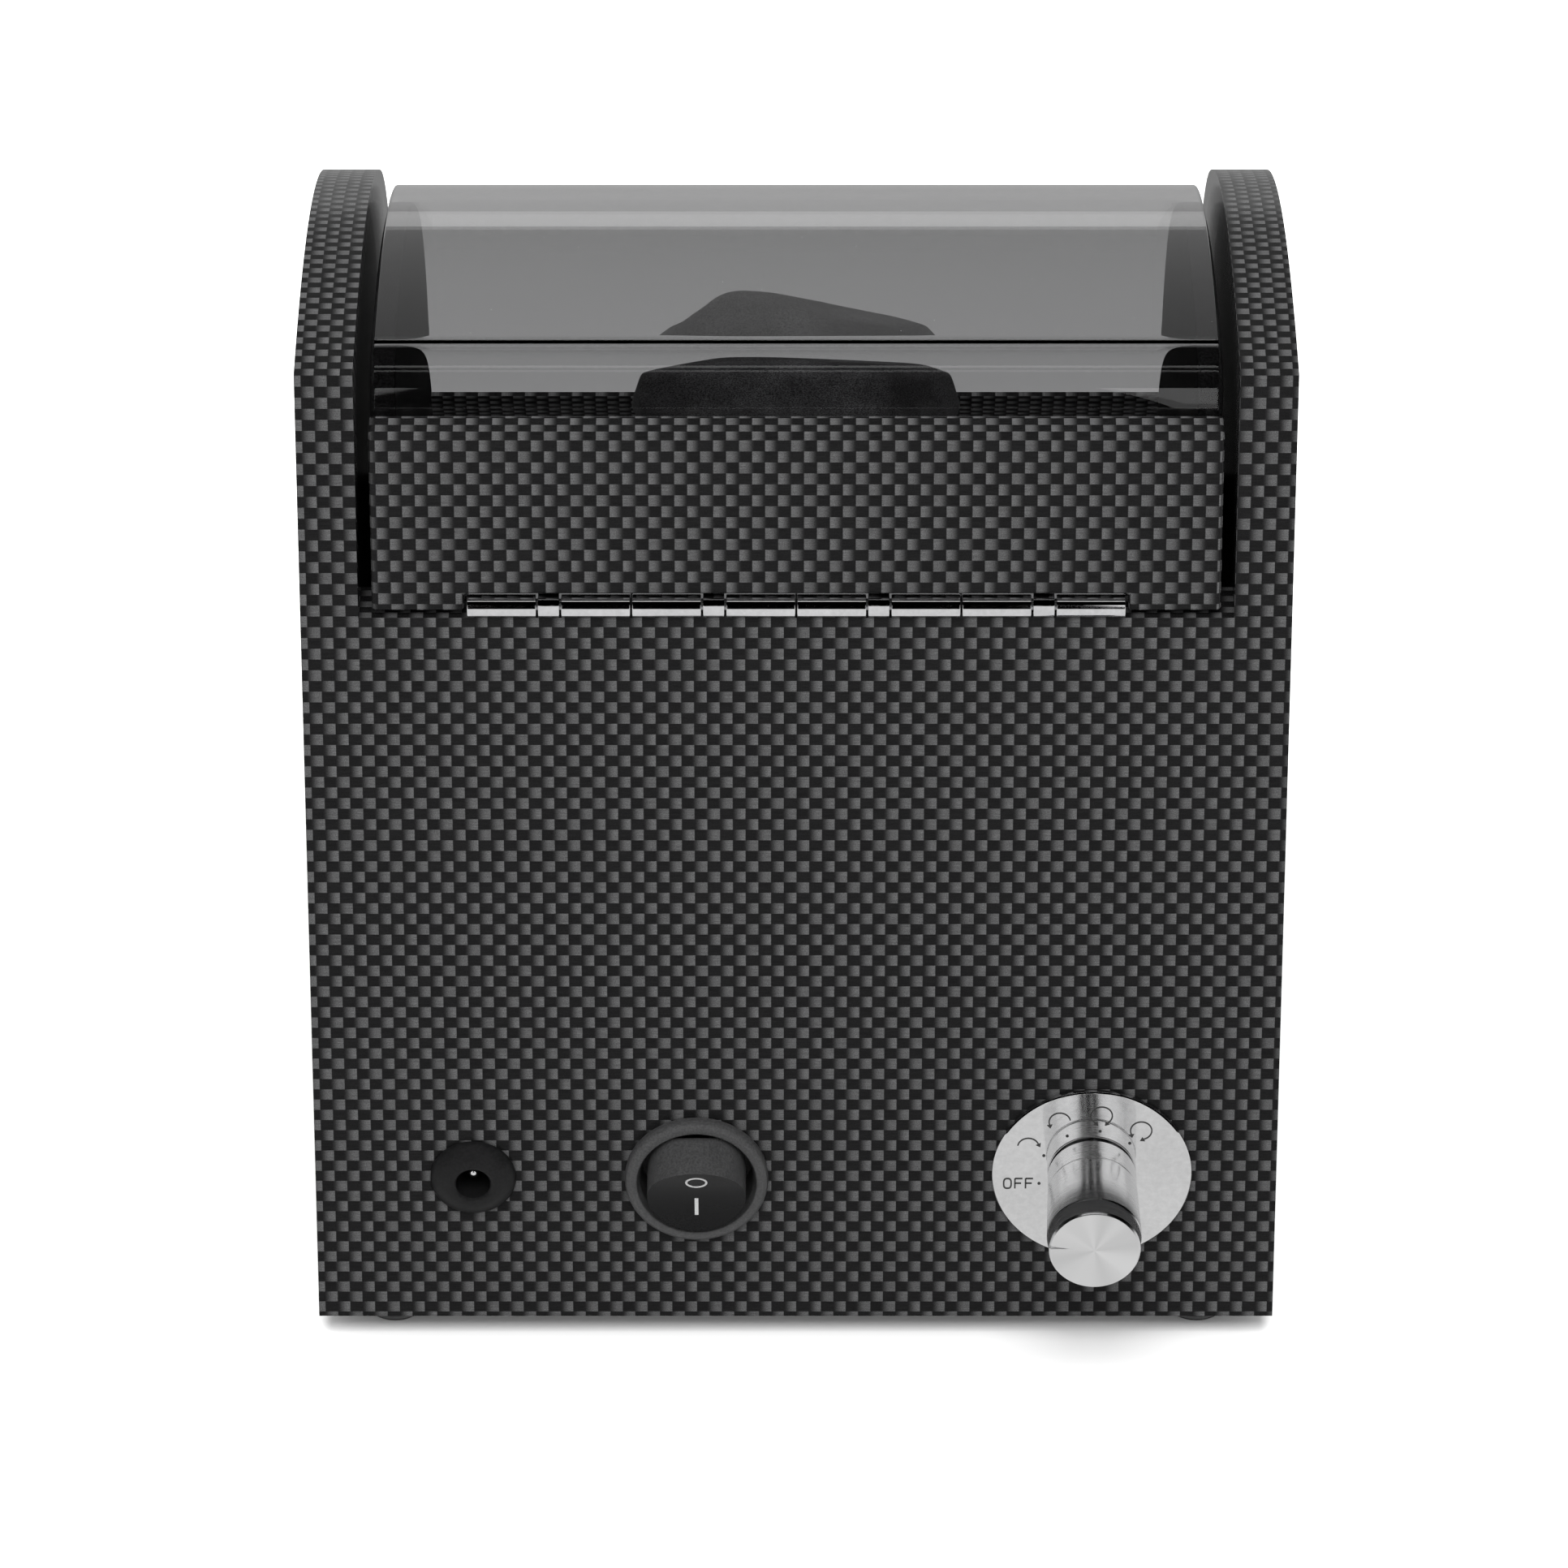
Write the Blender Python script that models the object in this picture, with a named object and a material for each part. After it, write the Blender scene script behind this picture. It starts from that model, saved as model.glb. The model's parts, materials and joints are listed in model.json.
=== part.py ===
"""Watch winder box: a film-wrapped cabinet with a curved hinged window lid, a tilted turntable
that carries one watch pillow, and its controls on the rear face.

Metres, +Z up. The box stands on its feet at Z = 0. Its window faces -Y and its controls face +Y.
Cabinet and lid pieces are drawn as side outlines: (depth, height) pairs, where depth runs forwards
from the rear face and height runs up from the underside of the cabinet.
"""

import math

import bmesh
import bpy
from mathutils import Matrix, Vector

# Cabinet
WIDTH = 0.154
DEPTH = 0.176
CABINET_HEIGHT = 0.1772
FOOT_HEIGHT = 0.005
BOARD = 0.009  # thickness of the film-wrapped boards
BASE_BOARD = 0.006
GAP = 0.0003  # glue line between pieces that touch
RUNNING_GAP = 0.0001  # between a shaft and its bore
EDGE_RADIUS = 0.0015
REAR_PANEL_TOP = 0.1333
FRONT_PANEL_TOP = 0.0518

# Roof line: two arcs, level at the rear edge and upright at the front
ROOF_RADIUS = 0.236
ROOF_TURN = math.radians(32)
FRONT_RADIUS = (DEPTH - ROOF_RADIUS * math.sin(ROOF_TURN)) / (1 - math.sin(ROOF_TURN))
ARC_STEP = math.radians(4)

# Seam between cabinet and lid, deck and turntable, all tilted forwards
TILT = math.radians(25)
SEAM_REAR_HEIGHT = 0.1337
SEAM_CLEARANCE = 0.00025
LINING = 0.0058
DECK_DROP = 0.009
DECK_THICKNESS = 0.005
INNER_HALF_WIDTH = WIDTH / 2 - BOARD - GAP
LINED_HALF_WIDTH = INNER_HALF_WIDTH - LINING

# Lid
LID_HALF_WIDTH = 0.06585
CHEEK = 0.004
REAR_RAIL_BOTTOM = 0.1345
REAR_RAIL_TOP = 0.1665
RAIL = 0.0092
WINDOW_SETBACK = 0.007  # the window's rear flange, in from the rear face
WINDOW_INSET = 0.0025  # the window's outer face below the roof line
WINDOW_THICKNESS = 0.0025
WINDOW_BEND = 0.0095
WINDOW_FLANGE_BOTTOM = 0.150
WINDOW_HALF_WIDTH = 0.0652
FRONT_RAIL_BOTTOM = 0.0522
FRONT_RAIL_TOP_ANGLE = math.radians(81.5)
FRONT_LIP_ANGLE = math.radians(77)

# Hinges
HINGE_LENGTH = 0.0256
HINGE_COUNT = 4
HINGE_DEPTH = 0.0002
HINGE_HEIGHT = 0.1354
BARREL_RADIUS = 0.0018
BARREL_BORE = 0.00095
PIN_RADIUS = 0.0007
LEAF_LENGTH = 0.008
LEAF_THICKNESS = 0.0006
MIDDLE_KNUCKLE = 0.0033
HINGE_NOTCH_HALF_WIDTH = 0.0515
HINGE_NOTCH_TOP = 0.1375

# Turntable and drive, measured up the turntable's axis from the deck's surface
TURNTABLE_DEPTH = 0.088
DECK_HOLE_RADIUS = 0.030
GEAR_MODULE = 0.001
GEAR_TEETH = 48
PINION_TEETH = 12
AXLE_RADIUS = 0.003
GEAR_TOP = -0.0212
GEAR_THICKNESS = 0.004
BRACKET_TOP = -0.0265
BRACKET_THICKNESS = 0.0025
BRACKET_HALF_LENGTH = 0.040
MOTOR_OFFSET = (GEAR_TEETH + PINION_TEETH) * GEAR_MODULE / 2
PILLOW_TURN = math.radians(-32)

# Rear controls
CONTROL_HEIGHT = 0.0277
SELECTOR_HEIGHT = 0.02856
JACK_X = 0.0517
SWITCH_X = 0.0159
SELECTOR_X = -0.0474
KNOB_REACH = 0.0221
ROCKER_PIVOT = 0.003
ROCKER_TILT = math.radians(20)

REAR_FACE_Y = (DEPTH - KNOB_REACH) / 2

TURN = 2 * math.pi


# ---- Materials ----


def make_material(name, colour, roughness, metallic=0.0, alpha=1.0):
    material = bpy.data.materials.new(name)
    material.use_nodes = True
    shader = material.node_tree.nodes["Principled BSDF"]
    shader.inputs["Base Color"].default_value = (*colour, 1.0)
    shader.inputs["Roughness"].default_value = roughness
    shader.inputs["Metallic"].default_value = metallic
    shader.inputs["Alpha"].default_value = alpha
    return material


def make_materials():
    return {
        "carbon_film": make_material("carbon_film", (0.035, 0.035, 0.037), 0.22),
        "velvet": make_material("velvet", (0.006, 0.006, 0.007), 0.95),
        "acrylic": make_material("acrylic", (0.60, 0.62, 0.64), 0.03, alpha=0.3),
        "black_rubber": make_material("black_rubber", (0.012, 0.012, 0.012), 0.7),
        "black_plastic": make_material("black_plastic", (0.018, 0.018, 0.019), 0.45),
        "gloss_plastic": make_material("gloss_plastic", (0.008, 0.008, 0.009), 0.25),
        "chrome": make_material("chrome", (0.80, 0.80, 0.82), 0.08, 1.0),
        "polished_aluminium": make_material("polished_aluminium", (0.78, 0.78, 0.79), 0.15, 1.0),
        "steel": make_material("steel", (0.45, 0.45, 0.46), 0.35, 1.0),
        "brass": make_material("brass", (0.62, 0.47, 0.22), 0.3, 1.0),
        "nylon": make_material("nylon", (0.72, 0.71, 0.66), 0.5),
        "circuit_board": make_material("circuit_board", (0.02, 0.12, 0.05), 0.4),
        "lead_insulation": make_material("lead_insulation", (0.02, 0.02, 0.02), 0.5),
    }


# ---- Shape helpers ----


def to_world(x, depth, height):
    return Vector((x, REAR_FACE_Y - depth, FOOT_HEIGHT + height))


def add_object(name, shape, material, parent=None, place=None):
    """Link the bmesh as an object. place is its matrix in the parent's space."""
    bmesh.ops.recalc_face_normals(shape, faces=shape.faces)
    mesh = bpy.data.meshes.new(name)
    shape.to_mesh(mesh)
    shape.free()
    mesh.materials.append(material)
    mesh.shade_smooth()
    mesh.set_sharp_from_angle(angle=math.radians(30))
    item = bpy.data.objects.new(name, mesh)
    bpy.context.collection.objects.link(item)
    item.parent = parent
    if place is not None:
        item.matrix_local = place
    return item


def add_axis(name, location, rotation=(0, 0, 0)):
    """An empty on a joint's axis, which carries the pieces that move with it."""
    axis = bpy.data.objects.new(name, None)
    axis.empty_display_size = 0.01
    axis.location = location
    axis.rotation_euler = rotation
    bpy.context.collection.objects.link(axis)
    bpy.context.view_layer.update()
    return axis


def hide_tool(tool):
    tool.hide_render = True
    tool.display_type = "WIRE"


def combine(target, tool, operation):
    modifier = target.modifiers.new(operation.lower() + "_" + tool.name, "BOOLEAN")
    modifier.operation = operation
    modifier.solver = "EXACT"
    modifier.object = tool
    hide_tool(tool)


def cut(target, tool):
    combine(target, tool, "DIFFERENCE")


def join(target, tool):
    combine(target, tool, "UNION")


def soften(item, width, segments=2, angle=50):
    modifier = item.modifiers.new("soften", "BEVEL")
    modifier.width = width
    modifier.segments = segments
    modifier.limit_method = "ANGLE"
    modifier.angle_limit = math.radians(angle)


def prism(points, lift):
    """A bmesh with the face through points, extruded by the vector lift."""
    shape = bmesh.new()
    face = shape.faces.new([shape.verts.new(point) for point in points])
    grown = bmesh.ops.extrude_face_region(shape, geom=[face])["geom"]
    moved = [item for item in grown if isinstance(item, bmesh.types.BMVert)]
    bmesh.ops.translate(shape, verts=moved, vec=lift)
    return shape


def across(name, outline, x_low, x_high, material, parent=None):
    """A board or rail: a (depth, height) outline run across the box from x_low to x_high."""
    origin = parent.matrix_world.translation if parent else Vector((0, 0, 0))
    points = [to_world(x_low, depth, height) - origin for depth, height in outline]
    shape = prism(points, Vector((x_high - x_low, 0, 0)))
    return add_object(name, shape, material, parent)


def block(name, low, high, material, parent=None, place=None):
    """A box between two corners."""
    corners = [(low[0], low[1]), (high[0], low[1]), (high[0], high[1]), (low[0], high[1])]
    shape = prism([(x, y, low[2]) for x, y in corners], Vector((0, 0, high[2] - low[2])))
    return add_object(name, shape, material, parent, place)


def turned(name, profile, material, parent=None, place=None, steps=32):
    """A piece turned about Z from a closed (radius, height) profile, which may touch the axis."""
    shape = bmesh.new()
    points = [shape.verts.new((radius, 0, height)) for radius, height in profile]
    edges = []
    for index, start in enumerate(points):
        end = points[(index + 1) % len(points)]
        if start.co.x > 0 or end.co.x > 0:
            edges.append(shape.edges.new((start, end)))
    bmesh.ops.spin(shape, geom=points + edges, axis=(0, 0, 1), cent=(0, 0, 0), angle=TURN, steps=steps)
    bmesh.ops.remove_doubles(shape, verts=shape.verts, dist=1e-6)
    return add_object(name, shape, material, parent, place)


def disc_profile(radius, low, high):
    return [(0, high), (radius, high), (radius, low), (0, low)]


def cylinder(name, radius, low, high, material, parent=None, place=None, steps=32):
    return turned(name, disc_profile(radius, low, high), material, parent, place, steps)


def facing_rear(x, height, proud=0.0):
    """Placing for a control: its own +Z points out of the rear face, its +X along the box's +X."""
    spot = to_world(x, -proud, height)
    return Matrix.Translation(spot) @ Matrix.Rotation(math.radians(-90), 4, "X")


def smooth_route(points, spacing):
    """Evenly close points on a Catmull-Rom curve through the given points."""
    ends = [points[0] * 2 - points[1], *points, points[-1] * 2 - points[-2]]
    route = []
    for index in range(1, len(ends) - 2):
        before, start, end, after = ends[index - 1 : index + 3]
        pieces = max(2, round((end - start).length / spacing))
        for step in range(pieces):
            t = step / pieces
            route.append(
                0.5
                * (
                    2 * start
                    + (end - before) * t
                    + (2 * before - 5 * start + 4 * end - after) * t**2
                    + (3 * start - before - 3 * end + after) * t**3
                )
            )
    route.append(points[-1])
    return route


# ---- Side outlines ----


def roof_point(angle, inset=0.0):
    """Point of the roof line where it slopes down by angle, moved inwards by inset."""
    depth = ROOF_RADIUS * math.sin(min(angle, ROOF_TURN))
    height = CABINET_HEIGHT - ROOF_RADIUS * (1 - math.cos(min(angle, ROOF_TURN)))
    if angle > ROOF_TURN:
        depth += FRONT_RADIUS * (math.sin(angle) - math.sin(ROOF_TURN))
        height += FRONT_RADIUS * (math.cos(angle) - math.cos(ROOF_TURN))
    return depth - inset * math.sin(angle), height - inset * math.cos(angle)


def roof_curve(start, end, inset=0.0):
    """Points of the roof line from one slope to another, in either direction."""
    pieces = max(1, round(abs(end - start) / ARC_STEP))
    return [roof_point(start + (end - start) * step / pieces, inset) for step in range(pieces + 1)]


def roof_angle_at(height, inset=0.0):
    """Slope of the front arc at a height."""
    foot = roof_point(math.radians(90))[1]
    return math.acos((height - foot) / (FRONT_RADIUS - inset))


def bend_curve(inset):
    """The window's tight rear bend, from its upright flange to the roof curve, and its end slope."""
    centre_depth = WINDOW_SETBACK + WINDOW_BEND
    reach = ROOF_RADIUS - WINDOW_INSET - WINDOW_BEND
    centre_height = CABINET_HEIGHT - ROOF_RADIUS + math.sqrt(reach**2 - centre_depth**2)
    end_slope = math.asin(centre_depth / reach)
    radius = WINDOW_BEND - inset
    pieces = 8
    points = []
    for step in range(pieces + 1):
        slope = math.radians(-90) + (end_slope + math.radians(90)) * step / pieces
        points.append((centre_depth + radius * math.sin(slope), centre_height + radius * math.cos(slope)))
    return points, end_slope


def seam_height(depth):
    return SEAM_REAR_HEIGHT - depth * math.tan(TILT)


def under_seam(depth, drop):
    """Height at a depth, drop below the seam measured square to it."""
    return seam_height(depth) - drop / math.cos(TILT)


# ---- Cabinet ----


def build_cabinet(mats):
    film = mats["carbon_film"]
    side = [(0, 0), (0, CABINET_HEIGHT)] + roof_curve(0, math.radians(90))[1:] + [(DEPTH, 0)]
    for name, inner in (("left_side_panel", -1), ("right_side_panel", 1)):
        outer_x = inner * WIDTH / 2
        inner_x = inner * (WIDTH / 2 - BOARD)
        panel = across(name, side, min(outer_x, inner_x), max(outer_x, inner_x), film)
        soften(panel, EDGE_RADIUS)

    half = INNER_HALF_WIDTH
    rear_outline = [(0, 0), (0, REAR_PANEL_TOP), (BOARD, REAR_PANEL_TOP), (BOARD, 0)]
    rear = across("rear_panel", rear_outline, -half, half, film)
    for label, x, height, radius in (
        ("jack", JACK_X, CONTROL_HEIGHT, 0.0056),
        ("switch", SWITCH_X, CONTROL_HEIGHT, 0.0101),
        ("selector", SELECTOR_X, SELECTOR_HEIGHT, 0.0038),
    ):
        place = facing_rear(x, height)
        cut(rear, cylinder(f"{label}_hole_tool", radius, -0.02, 0.01, film, place=place))

    front_inner = DEPTH - BOARD
    front_outline = [
        (front_inner, 0),
        (front_inner, FRONT_PANEL_TOP),
        (DEPTH, FRONT_PANEL_TOP),
        (DEPTH, 0),
    ]
    front = across("front_panel", front_outline, -half, half, film)

    base_outline = [
        (BOARD + GAP, 0),
        (BOARD + GAP, BASE_BOARD),
        (front_inner - GAP, BASE_BOARD),
        (front_inner - GAP, 0),
    ]
    across("base_panel", base_outline, -half, half, mats["black_plastic"])

    near = BOARD + GAP
    far = front_inner - GAP
    lining_outline = [
        (near, BASE_BOARD + GAP),
        (near, under_seam(near, SEAM_CLEARANCE)),
        (far, under_seam(far, SEAM_CLEARANCE)),
        (far, BASE_BOARD + GAP),
    ]
    across("left_lining", lining_outline, -half + GAP, -LINED_HALF_WIDTH, mats["velvet"])
    across("right_lining", lining_outline, LINED_HALF_WIDTH, half - GAP, mats["velvet"])

    near += GAP
    far -= GAP
    deck_outline = [
        (near, under_seam(near, DECK_DROP + DECK_THICKNESS)),
        (near, under_seam(near, DECK_DROP)),
        (far, under_seam(far, DECK_DROP)),
        (far, under_seam(far, DECK_DROP + DECK_THICKNESS)),
    ]
    deck_half = LINED_HALF_WIDTH - GAP
    deck = across("deck", deck_outline, -deck_half, deck_half, mats["velvet"])
    hole = cylinder("deck_hole_tool", DECK_HOLE_RADIUS, -0.02, 0.02, film, place=turntable_place())
    cut(deck, hole)
    return front


def turntable_place():
    """The turntable's axis: up out of the deck, leaning towards the window."""
    centre = to_world(0, TURNTABLE_DEPTH, under_seam(TURNTABLE_DEPTH, DECK_DROP))
    return Matrix.Translation(centre) @ Matrix.Rotation(TILT, 4, "X")


def build_feet(mats):
    top = FOOT_HEIGHT - GAP
    profile = [(0, top), (0.0053, top), (0.0051, 0.0016), (0.0047, 0.0004), (0.0043, 0), (0, 0)]
    for row, depth in (("rear", 0.010), ("front", DEPTH - 0.010)):
        for column, x in (("left", -0.065), ("right", 0.065)):
            place = Matrix.Translation((x, REAR_FACE_Y - depth, 0))
            turned(f"foot_{row}_{column}", profile, mats["black_rubber"], place=place, steps=24)


def build_latch(mats, front, front_rail, lid_axis):
    """A magnet in each end of the lid's front rail, over a steel disc in the front panel."""
    depth = DEPTH - BOARD / 2
    radius = 0.0025
    disc_height = 0.0018
    for column, x in (("left", -0.045), ("right", 0.045)):
        disc_spot = Matrix.Translation(to_world(x, depth, FRONT_PANEL_TOP - 0.0004 - disc_height))
        cylinder(f"strike_disc_{column}", radius, 0, disc_height, mats["steel"], place=disc_spot, steps=24)
        pocket_name = f"strike_pocket_{column}_tool"
        pocket = cylinder(pocket_name, radius + GAP, -GAP, 0.01, mats["steel"], place=disc_spot)
        cut(front, pocket)
        magnet_spot = Matrix.Translation(to_world(x, depth, FRONT_RAIL_BOTTOM + 0.0004))
        magnet_place = lid_axis.matrix_world.inverted() @ magnet_spot
        cylinder(
            f"magnet_{column}", radius, 0, disc_height, mats["steel"], lid_axis, magnet_place, steps=24
        )
        pocket = cylinder(
            f"magnet_pocket_{column}_tool",
            radius + GAP,
            -0.01,
            disc_height + GAP,
            mats["steel"],
            place=magnet_spot,
        )
        cut(front_rail, pocket)


# ---- Lid ----


def build_lid(mats, lid_axis):
    film = mats["carbon_film"]
    ledge = WINDOW_FLANGE_BOTTOM - GAP
    rear_outline = [
        (0, REAR_RAIL_BOTTOM),
        (0, REAR_RAIL_TOP),
        (WINDOW_SETBACK - GAP, REAR_RAIL_TOP),
        (WINDOW_SETBACK - GAP, ledge),
        (RAIL, ledge),
        (RAIL, REAR_RAIL_BOTTOM),
    ]
    rear_rail = across("lid_rear_rail", rear_outline, -LID_HALF_WIDTH, LID_HALF_WIDTH, film, lid_axis)
    notch = block(
        "hinge_notch_tool",
        to_world(-HINGE_NOTCH_HALF_WIDTH, BOARD * 2, REAR_RAIL_BOTTOM - 0.005),
        to_world(HINGE_NOTCH_HALF_WIDTH, -BOARD, HINGE_NOTCH_TOP),
        film,
    )
    cut(rear_rail, notch)

    lip_inset = WINDOW_INSET + WINDOW_THICKNESS + GAP
    front_rail_outline = (
        roof_curve(roof_angle_at(FRONT_RAIL_BOTTOM), FRONT_RAIL_TOP_ANGLE)
        + roof_curve(FRONT_RAIL_TOP_ANGLE, FRONT_LIP_ANGLE, lip_inset)
        + roof_curve(FRONT_LIP_ANGLE, roof_angle_at(FRONT_RAIL_BOTTOM, BOARD), BOARD)
    )
    front_rail = across(
        "lid_front_rail", front_rail_outline, -LID_HALF_WIDTH, LID_HALF_WIDTH, film, lid_axis
    )

    end_angle = FRONT_RAIL_TOP_ANGLE - GAP / FRONT_RADIUS
    outer_bend, outer_slope = bend_curve(0)
    inner_bend, _ = bend_curve(WINDOW_THICKNESS)
    inner_inset = WINDOW_INSET + WINDOW_THICKNESS
    window_outline = (
        [(WINDOW_SETBACK, WINDOW_FLANGE_BOTTOM)]
        + outer_bend
        + roof_curve(outer_slope, end_angle, WINDOW_INSET)[1:]
        + roof_curve(end_angle, outer_slope, inner_inset)[:-1]
        + inner_bend[::-1]
        + [(WINDOW_SETBACK + WINDOW_THICKNESS, WINDOW_FLANGE_BOTTOM)]
    )
    across("window", window_outline, -WINDOW_HALF_WIDTH, WINDOW_HALF_WIDTH, mats["acrylic"], lid_axis)

    cheek_bend, _ = bend_curve(WINDOW_THICKNESS + GAP)
    near = cheek_bend[0][0]
    cheek_stop = FRONT_LIP_ANGLE - GAP / FRONT_RADIUS
    far_inset = BOARD + GAP
    foot_depth = DEPTH - far_inset
    foot_angle = roof_angle_at(under_seam(foot_depth, -SEAM_CLEARANCE), far_inset)
    cheek_outline = (
        [(near, under_seam(near, -SEAM_CLEARANCE))]
        + cheek_bend
        + roof_curve(outer_slope, cheek_stop, lip_inset)[1:]
        + roof_curve(cheek_stop, foot_angle, far_inset)
    )
    inner = LID_HALF_WIDTH - CHEEK
    across("lid_left_cheek", cheek_outline, -LID_HALF_WIDTH, -inner, mats["velvet"], lid_axis)
    across("lid_right_cheek", cheek_outline, inner, LID_HALF_WIDTH, mats["velvet"], lid_axis)
    return front_rail


# ---- Hinges ----


def leaf_outline(upper):
    """A hinge leaf rolled round its barrel: the lower leaf, or its mirror for the upper one."""
    steps = 14
    end = TURN - math.asin((BARREL_RADIUS - LEAF_THICKNESS) / BARREL_RADIUS)
    start = TURN * 0.75
    sweep = end + TURN - start - TURN
    points = [(LEAF_LENGTH, -BARREL_RADIUS)]
    for step in range(steps + 1):
        angle = start - (TURN - sweep) * step / steps
        points.append((BARREL_RADIUS * math.cos(angle), BARREL_RADIUS * math.sin(angle)))
    points.append((LEAF_LENGTH, LEAF_THICKNESS - BARREL_RADIUS))
    side = -1 if upper else 1
    return [(HINGE_DEPTH + depth, HINGE_HEIGHT + side * height) for depth, height in points]


def barrel_cutter(name, x_low, x_high, film):
    """Removes the barrel, and the first of the leaf, between two stations."""
    room = BARREL_RADIUS + GAP
    low = to_world(x_low, HINGE_DEPTH + room, HINGE_HEIGHT - room)
    high = to_world(x_high, HINGE_DEPTH - room, HINGE_HEIGHT + room)
    return block(name, low, high, film)


def build_hinges(mats, lid_axis):
    chrome = mats["chrome"]
    length = HINGE_LENGTH - GAP
    along_x = Matrix.Rotation(math.radians(90), 4, "Y")
    barrel_axis = Matrix.Translation(to_world(0, HINGE_DEPTH, HINGE_HEIGHT)) @ along_x
    for index in range(HINGE_COUNT):
        number = index + 1
        middle = (index - (HINGE_COUNT - 1) / 2) * HINGE_LENGTH
        low = middle - length / 2
        high = middle + length / 2
        bore = cylinder(
            f"hinge_bore_{number}_tool",
            BARREL_BORE,
            low - 0.001,
            high + 0.001,
            chrome,
            place=barrel_axis,
            steps=16,
        )
        knuckle = MIDDLE_KNUCKLE / 2

        cabinet_leaf = across(f"hinge_{number}_cabinet_leaf", leaf_outline(False), low, high, chrome)
        room = knuckle + GAP
        cut(cabinet_leaf, barrel_cutter(f"knuckle_gap_{number}_tool", middle - room, middle + room, chrome))
        cut(cabinet_leaf, bore)

        lid_leaf = across(f"hinge_{number}_lid_leaf", leaf_outline(True), low, high, chrome, lid_axis)
        cut(lid_leaf, barrel_cutter(f"left_gap_{number}_tool", low - 0.001, middle - knuckle, chrome))
        cut(lid_leaf, barrel_cutter(f"right_gap_{number}_tool", middle + knuckle, high + 0.001, chrome))
        cut(lid_leaf, bore)

        pin_name = f"hinge_{number}_pin"
        cylinder(pin_name, PIN_RADIUS, low + GAP, high - GAP, mats["steel"], place=barrel_axis, steps=12)


# ---- Turntable and drive ----


def gear_outline(teeth, addendum, turn):
    """Involute teeth with a 20 degree pressure angle, thinned a little for backlash."""
    pitch = teeth * GEAR_MODULE / 2
    pressure = math.radians(20)
    base = pitch * math.cos(pressure)
    root = pitch - 1.1 * GEAR_MODULE
    tip = pitch + addendum * GEAR_MODULE
    half_tooth = math.radians(90) / teeth * 0.88

    def half_angle(radius):
        reach = math.acos(min(1.0, base / max(radius, base)))
        return half_tooth + (math.tan(pressure) - pressure) - (math.tan(reach) - reach)

    low = max(root, base)
    flank = [root, *(low + (tip - low) * step / 2 for step in range(3))]
    if root >= base:
        flank = flank[1:]
    points = []
    for tooth in range(teeth):
        middle = turn + TURN * tooth / teeth
        for radius in flank:
            points.append((radius, middle - half_angle(radius)))
        for radius in reversed(flank):
            points.append((radius, middle + half_angle(radius)))
    return [(radius * math.cos(angle), radius * math.sin(angle)) for radius, angle in points]


def gear(name, teeth, addendum, turn, low, high, material, parent, place=None):
    outline = gear_outline(teeth, addendum, turn)
    shape = prism([(x, y, low) for x, y in outline], Vector((0, 0, high - low)))
    return add_object(name, shape, material, parent, place)


def build_turntable(mats, axis):
    """The cup, its spindle and gear, and the pillow. Heights are along the axis, from the deck."""
    cup_profile = [
        (0, -0.016),
        (0.0245, -0.016),
        (0.0245, 0.0024),
        (0.0252, 0.0036),
        (0.0320, 0.0032),
        (0.0330, 0.0024),
        (0.0330, 0.0012),
        (0.0266, 0.0012),
        (0.0266, -0.019),
        (0.0060, -0.019),
        (0.0060, -0.0208),
        (AXLE_RADIUS + GAP, -0.0208),
        (AXLE_RADIUS + GAP, -0.0175),
        (0, -0.0175),
    ]
    turned("turntable_cup", cup_profile, mats["gloss_plastic"], axis, steps=40)

    spindle_end = -0.037
    cylinder("spindle", AXLE_RADIUS, spindle_end, -0.0178, mats["steel"], axis)
    drive = gear(
        "driven_gear", GEAR_TEETH, 0.75, 0, GEAR_TOP - GEAR_THICKNESS, GEAR_TOP, mats["nylon"], axis
    )
    cut(drive, cylinder("gear_bore_tool", AXLE_RADIUS + GAP, -0.04, 0, mats["nylon"], axis))
    clip_bore = AXLE_RADIUS + GAP
    clip_profile = [(clip_bore, -0.0346), (0.0055, -0.0346), (0.0055, -0.0354), (clip_bore, -0.0354)]
    turned("spindle_clip", clip_profile, mats["steel"], axis)
    build_pillow(mats["velvet"], axis)


def pillow_ring(half_length, half_width, corner, height, per_corner=4):
    """Points round a rectangle with round corners, at a height."""
    points = []
    corners = ((1, 1, 0), (-1, 1, 90), (-1, -1, 180), (1, -1, 270))
    for side_x, side_y, start in corners:
        centre = (side_x * (half_length - corner), side_y * (half_width - corner))
        for step in range(per_corner + 1):
            angle = math.radians(start + 90 * step / per_corner)
            x = centre[0] + corner * math.cos(angle)
            y = centre[1] + corner * math.sin(angle)
            points.append((x, y, height))
    return points


def build_pillow(velvet, axis):
    """A plain loaf on a round foot that fills the cup, turned so that a corner faces the rear."""
    rings = (
        (0.0242, 0.0242, 0.0242, -0.0157),
        (0.0242, 0.0242, 0.0242, 0.0020),
        (0.0250, 0.0185, 0.0120, 0.0090),
        (0.0268, 0.0186, 0.0100, 0.0280),
        (0.0255, 0.0176, 0.0100, 0.0440),
        (0.0215, 0.0140, 0.0090, 0.0500),
    )
    shape = bmesh.new()
    layers = []
    for half_length, half_width, corner, height in rings:
        ring = pillow_ring(half_length, half_width, corner, height)
        layers.append([shape.verts.new(point) for point in ring])
    for below, above in zip(layers, layers[1:]):
        count = len(below)
        for index in range(count):
            after = (index + 1) % count
            shape.faces.new((below[index], below[after], above[after], above[index]))
    shape.faces.new(layers[0])
    shape.faces.new(layers[-1])
    bmesh.ops.rotate(shape, verts=shape.verts, matrix=Matrix.Rotation(PILLOW_TURN, 3, "Z"))
    add_object("watch_pillow", shape, velvet, axis)


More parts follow.
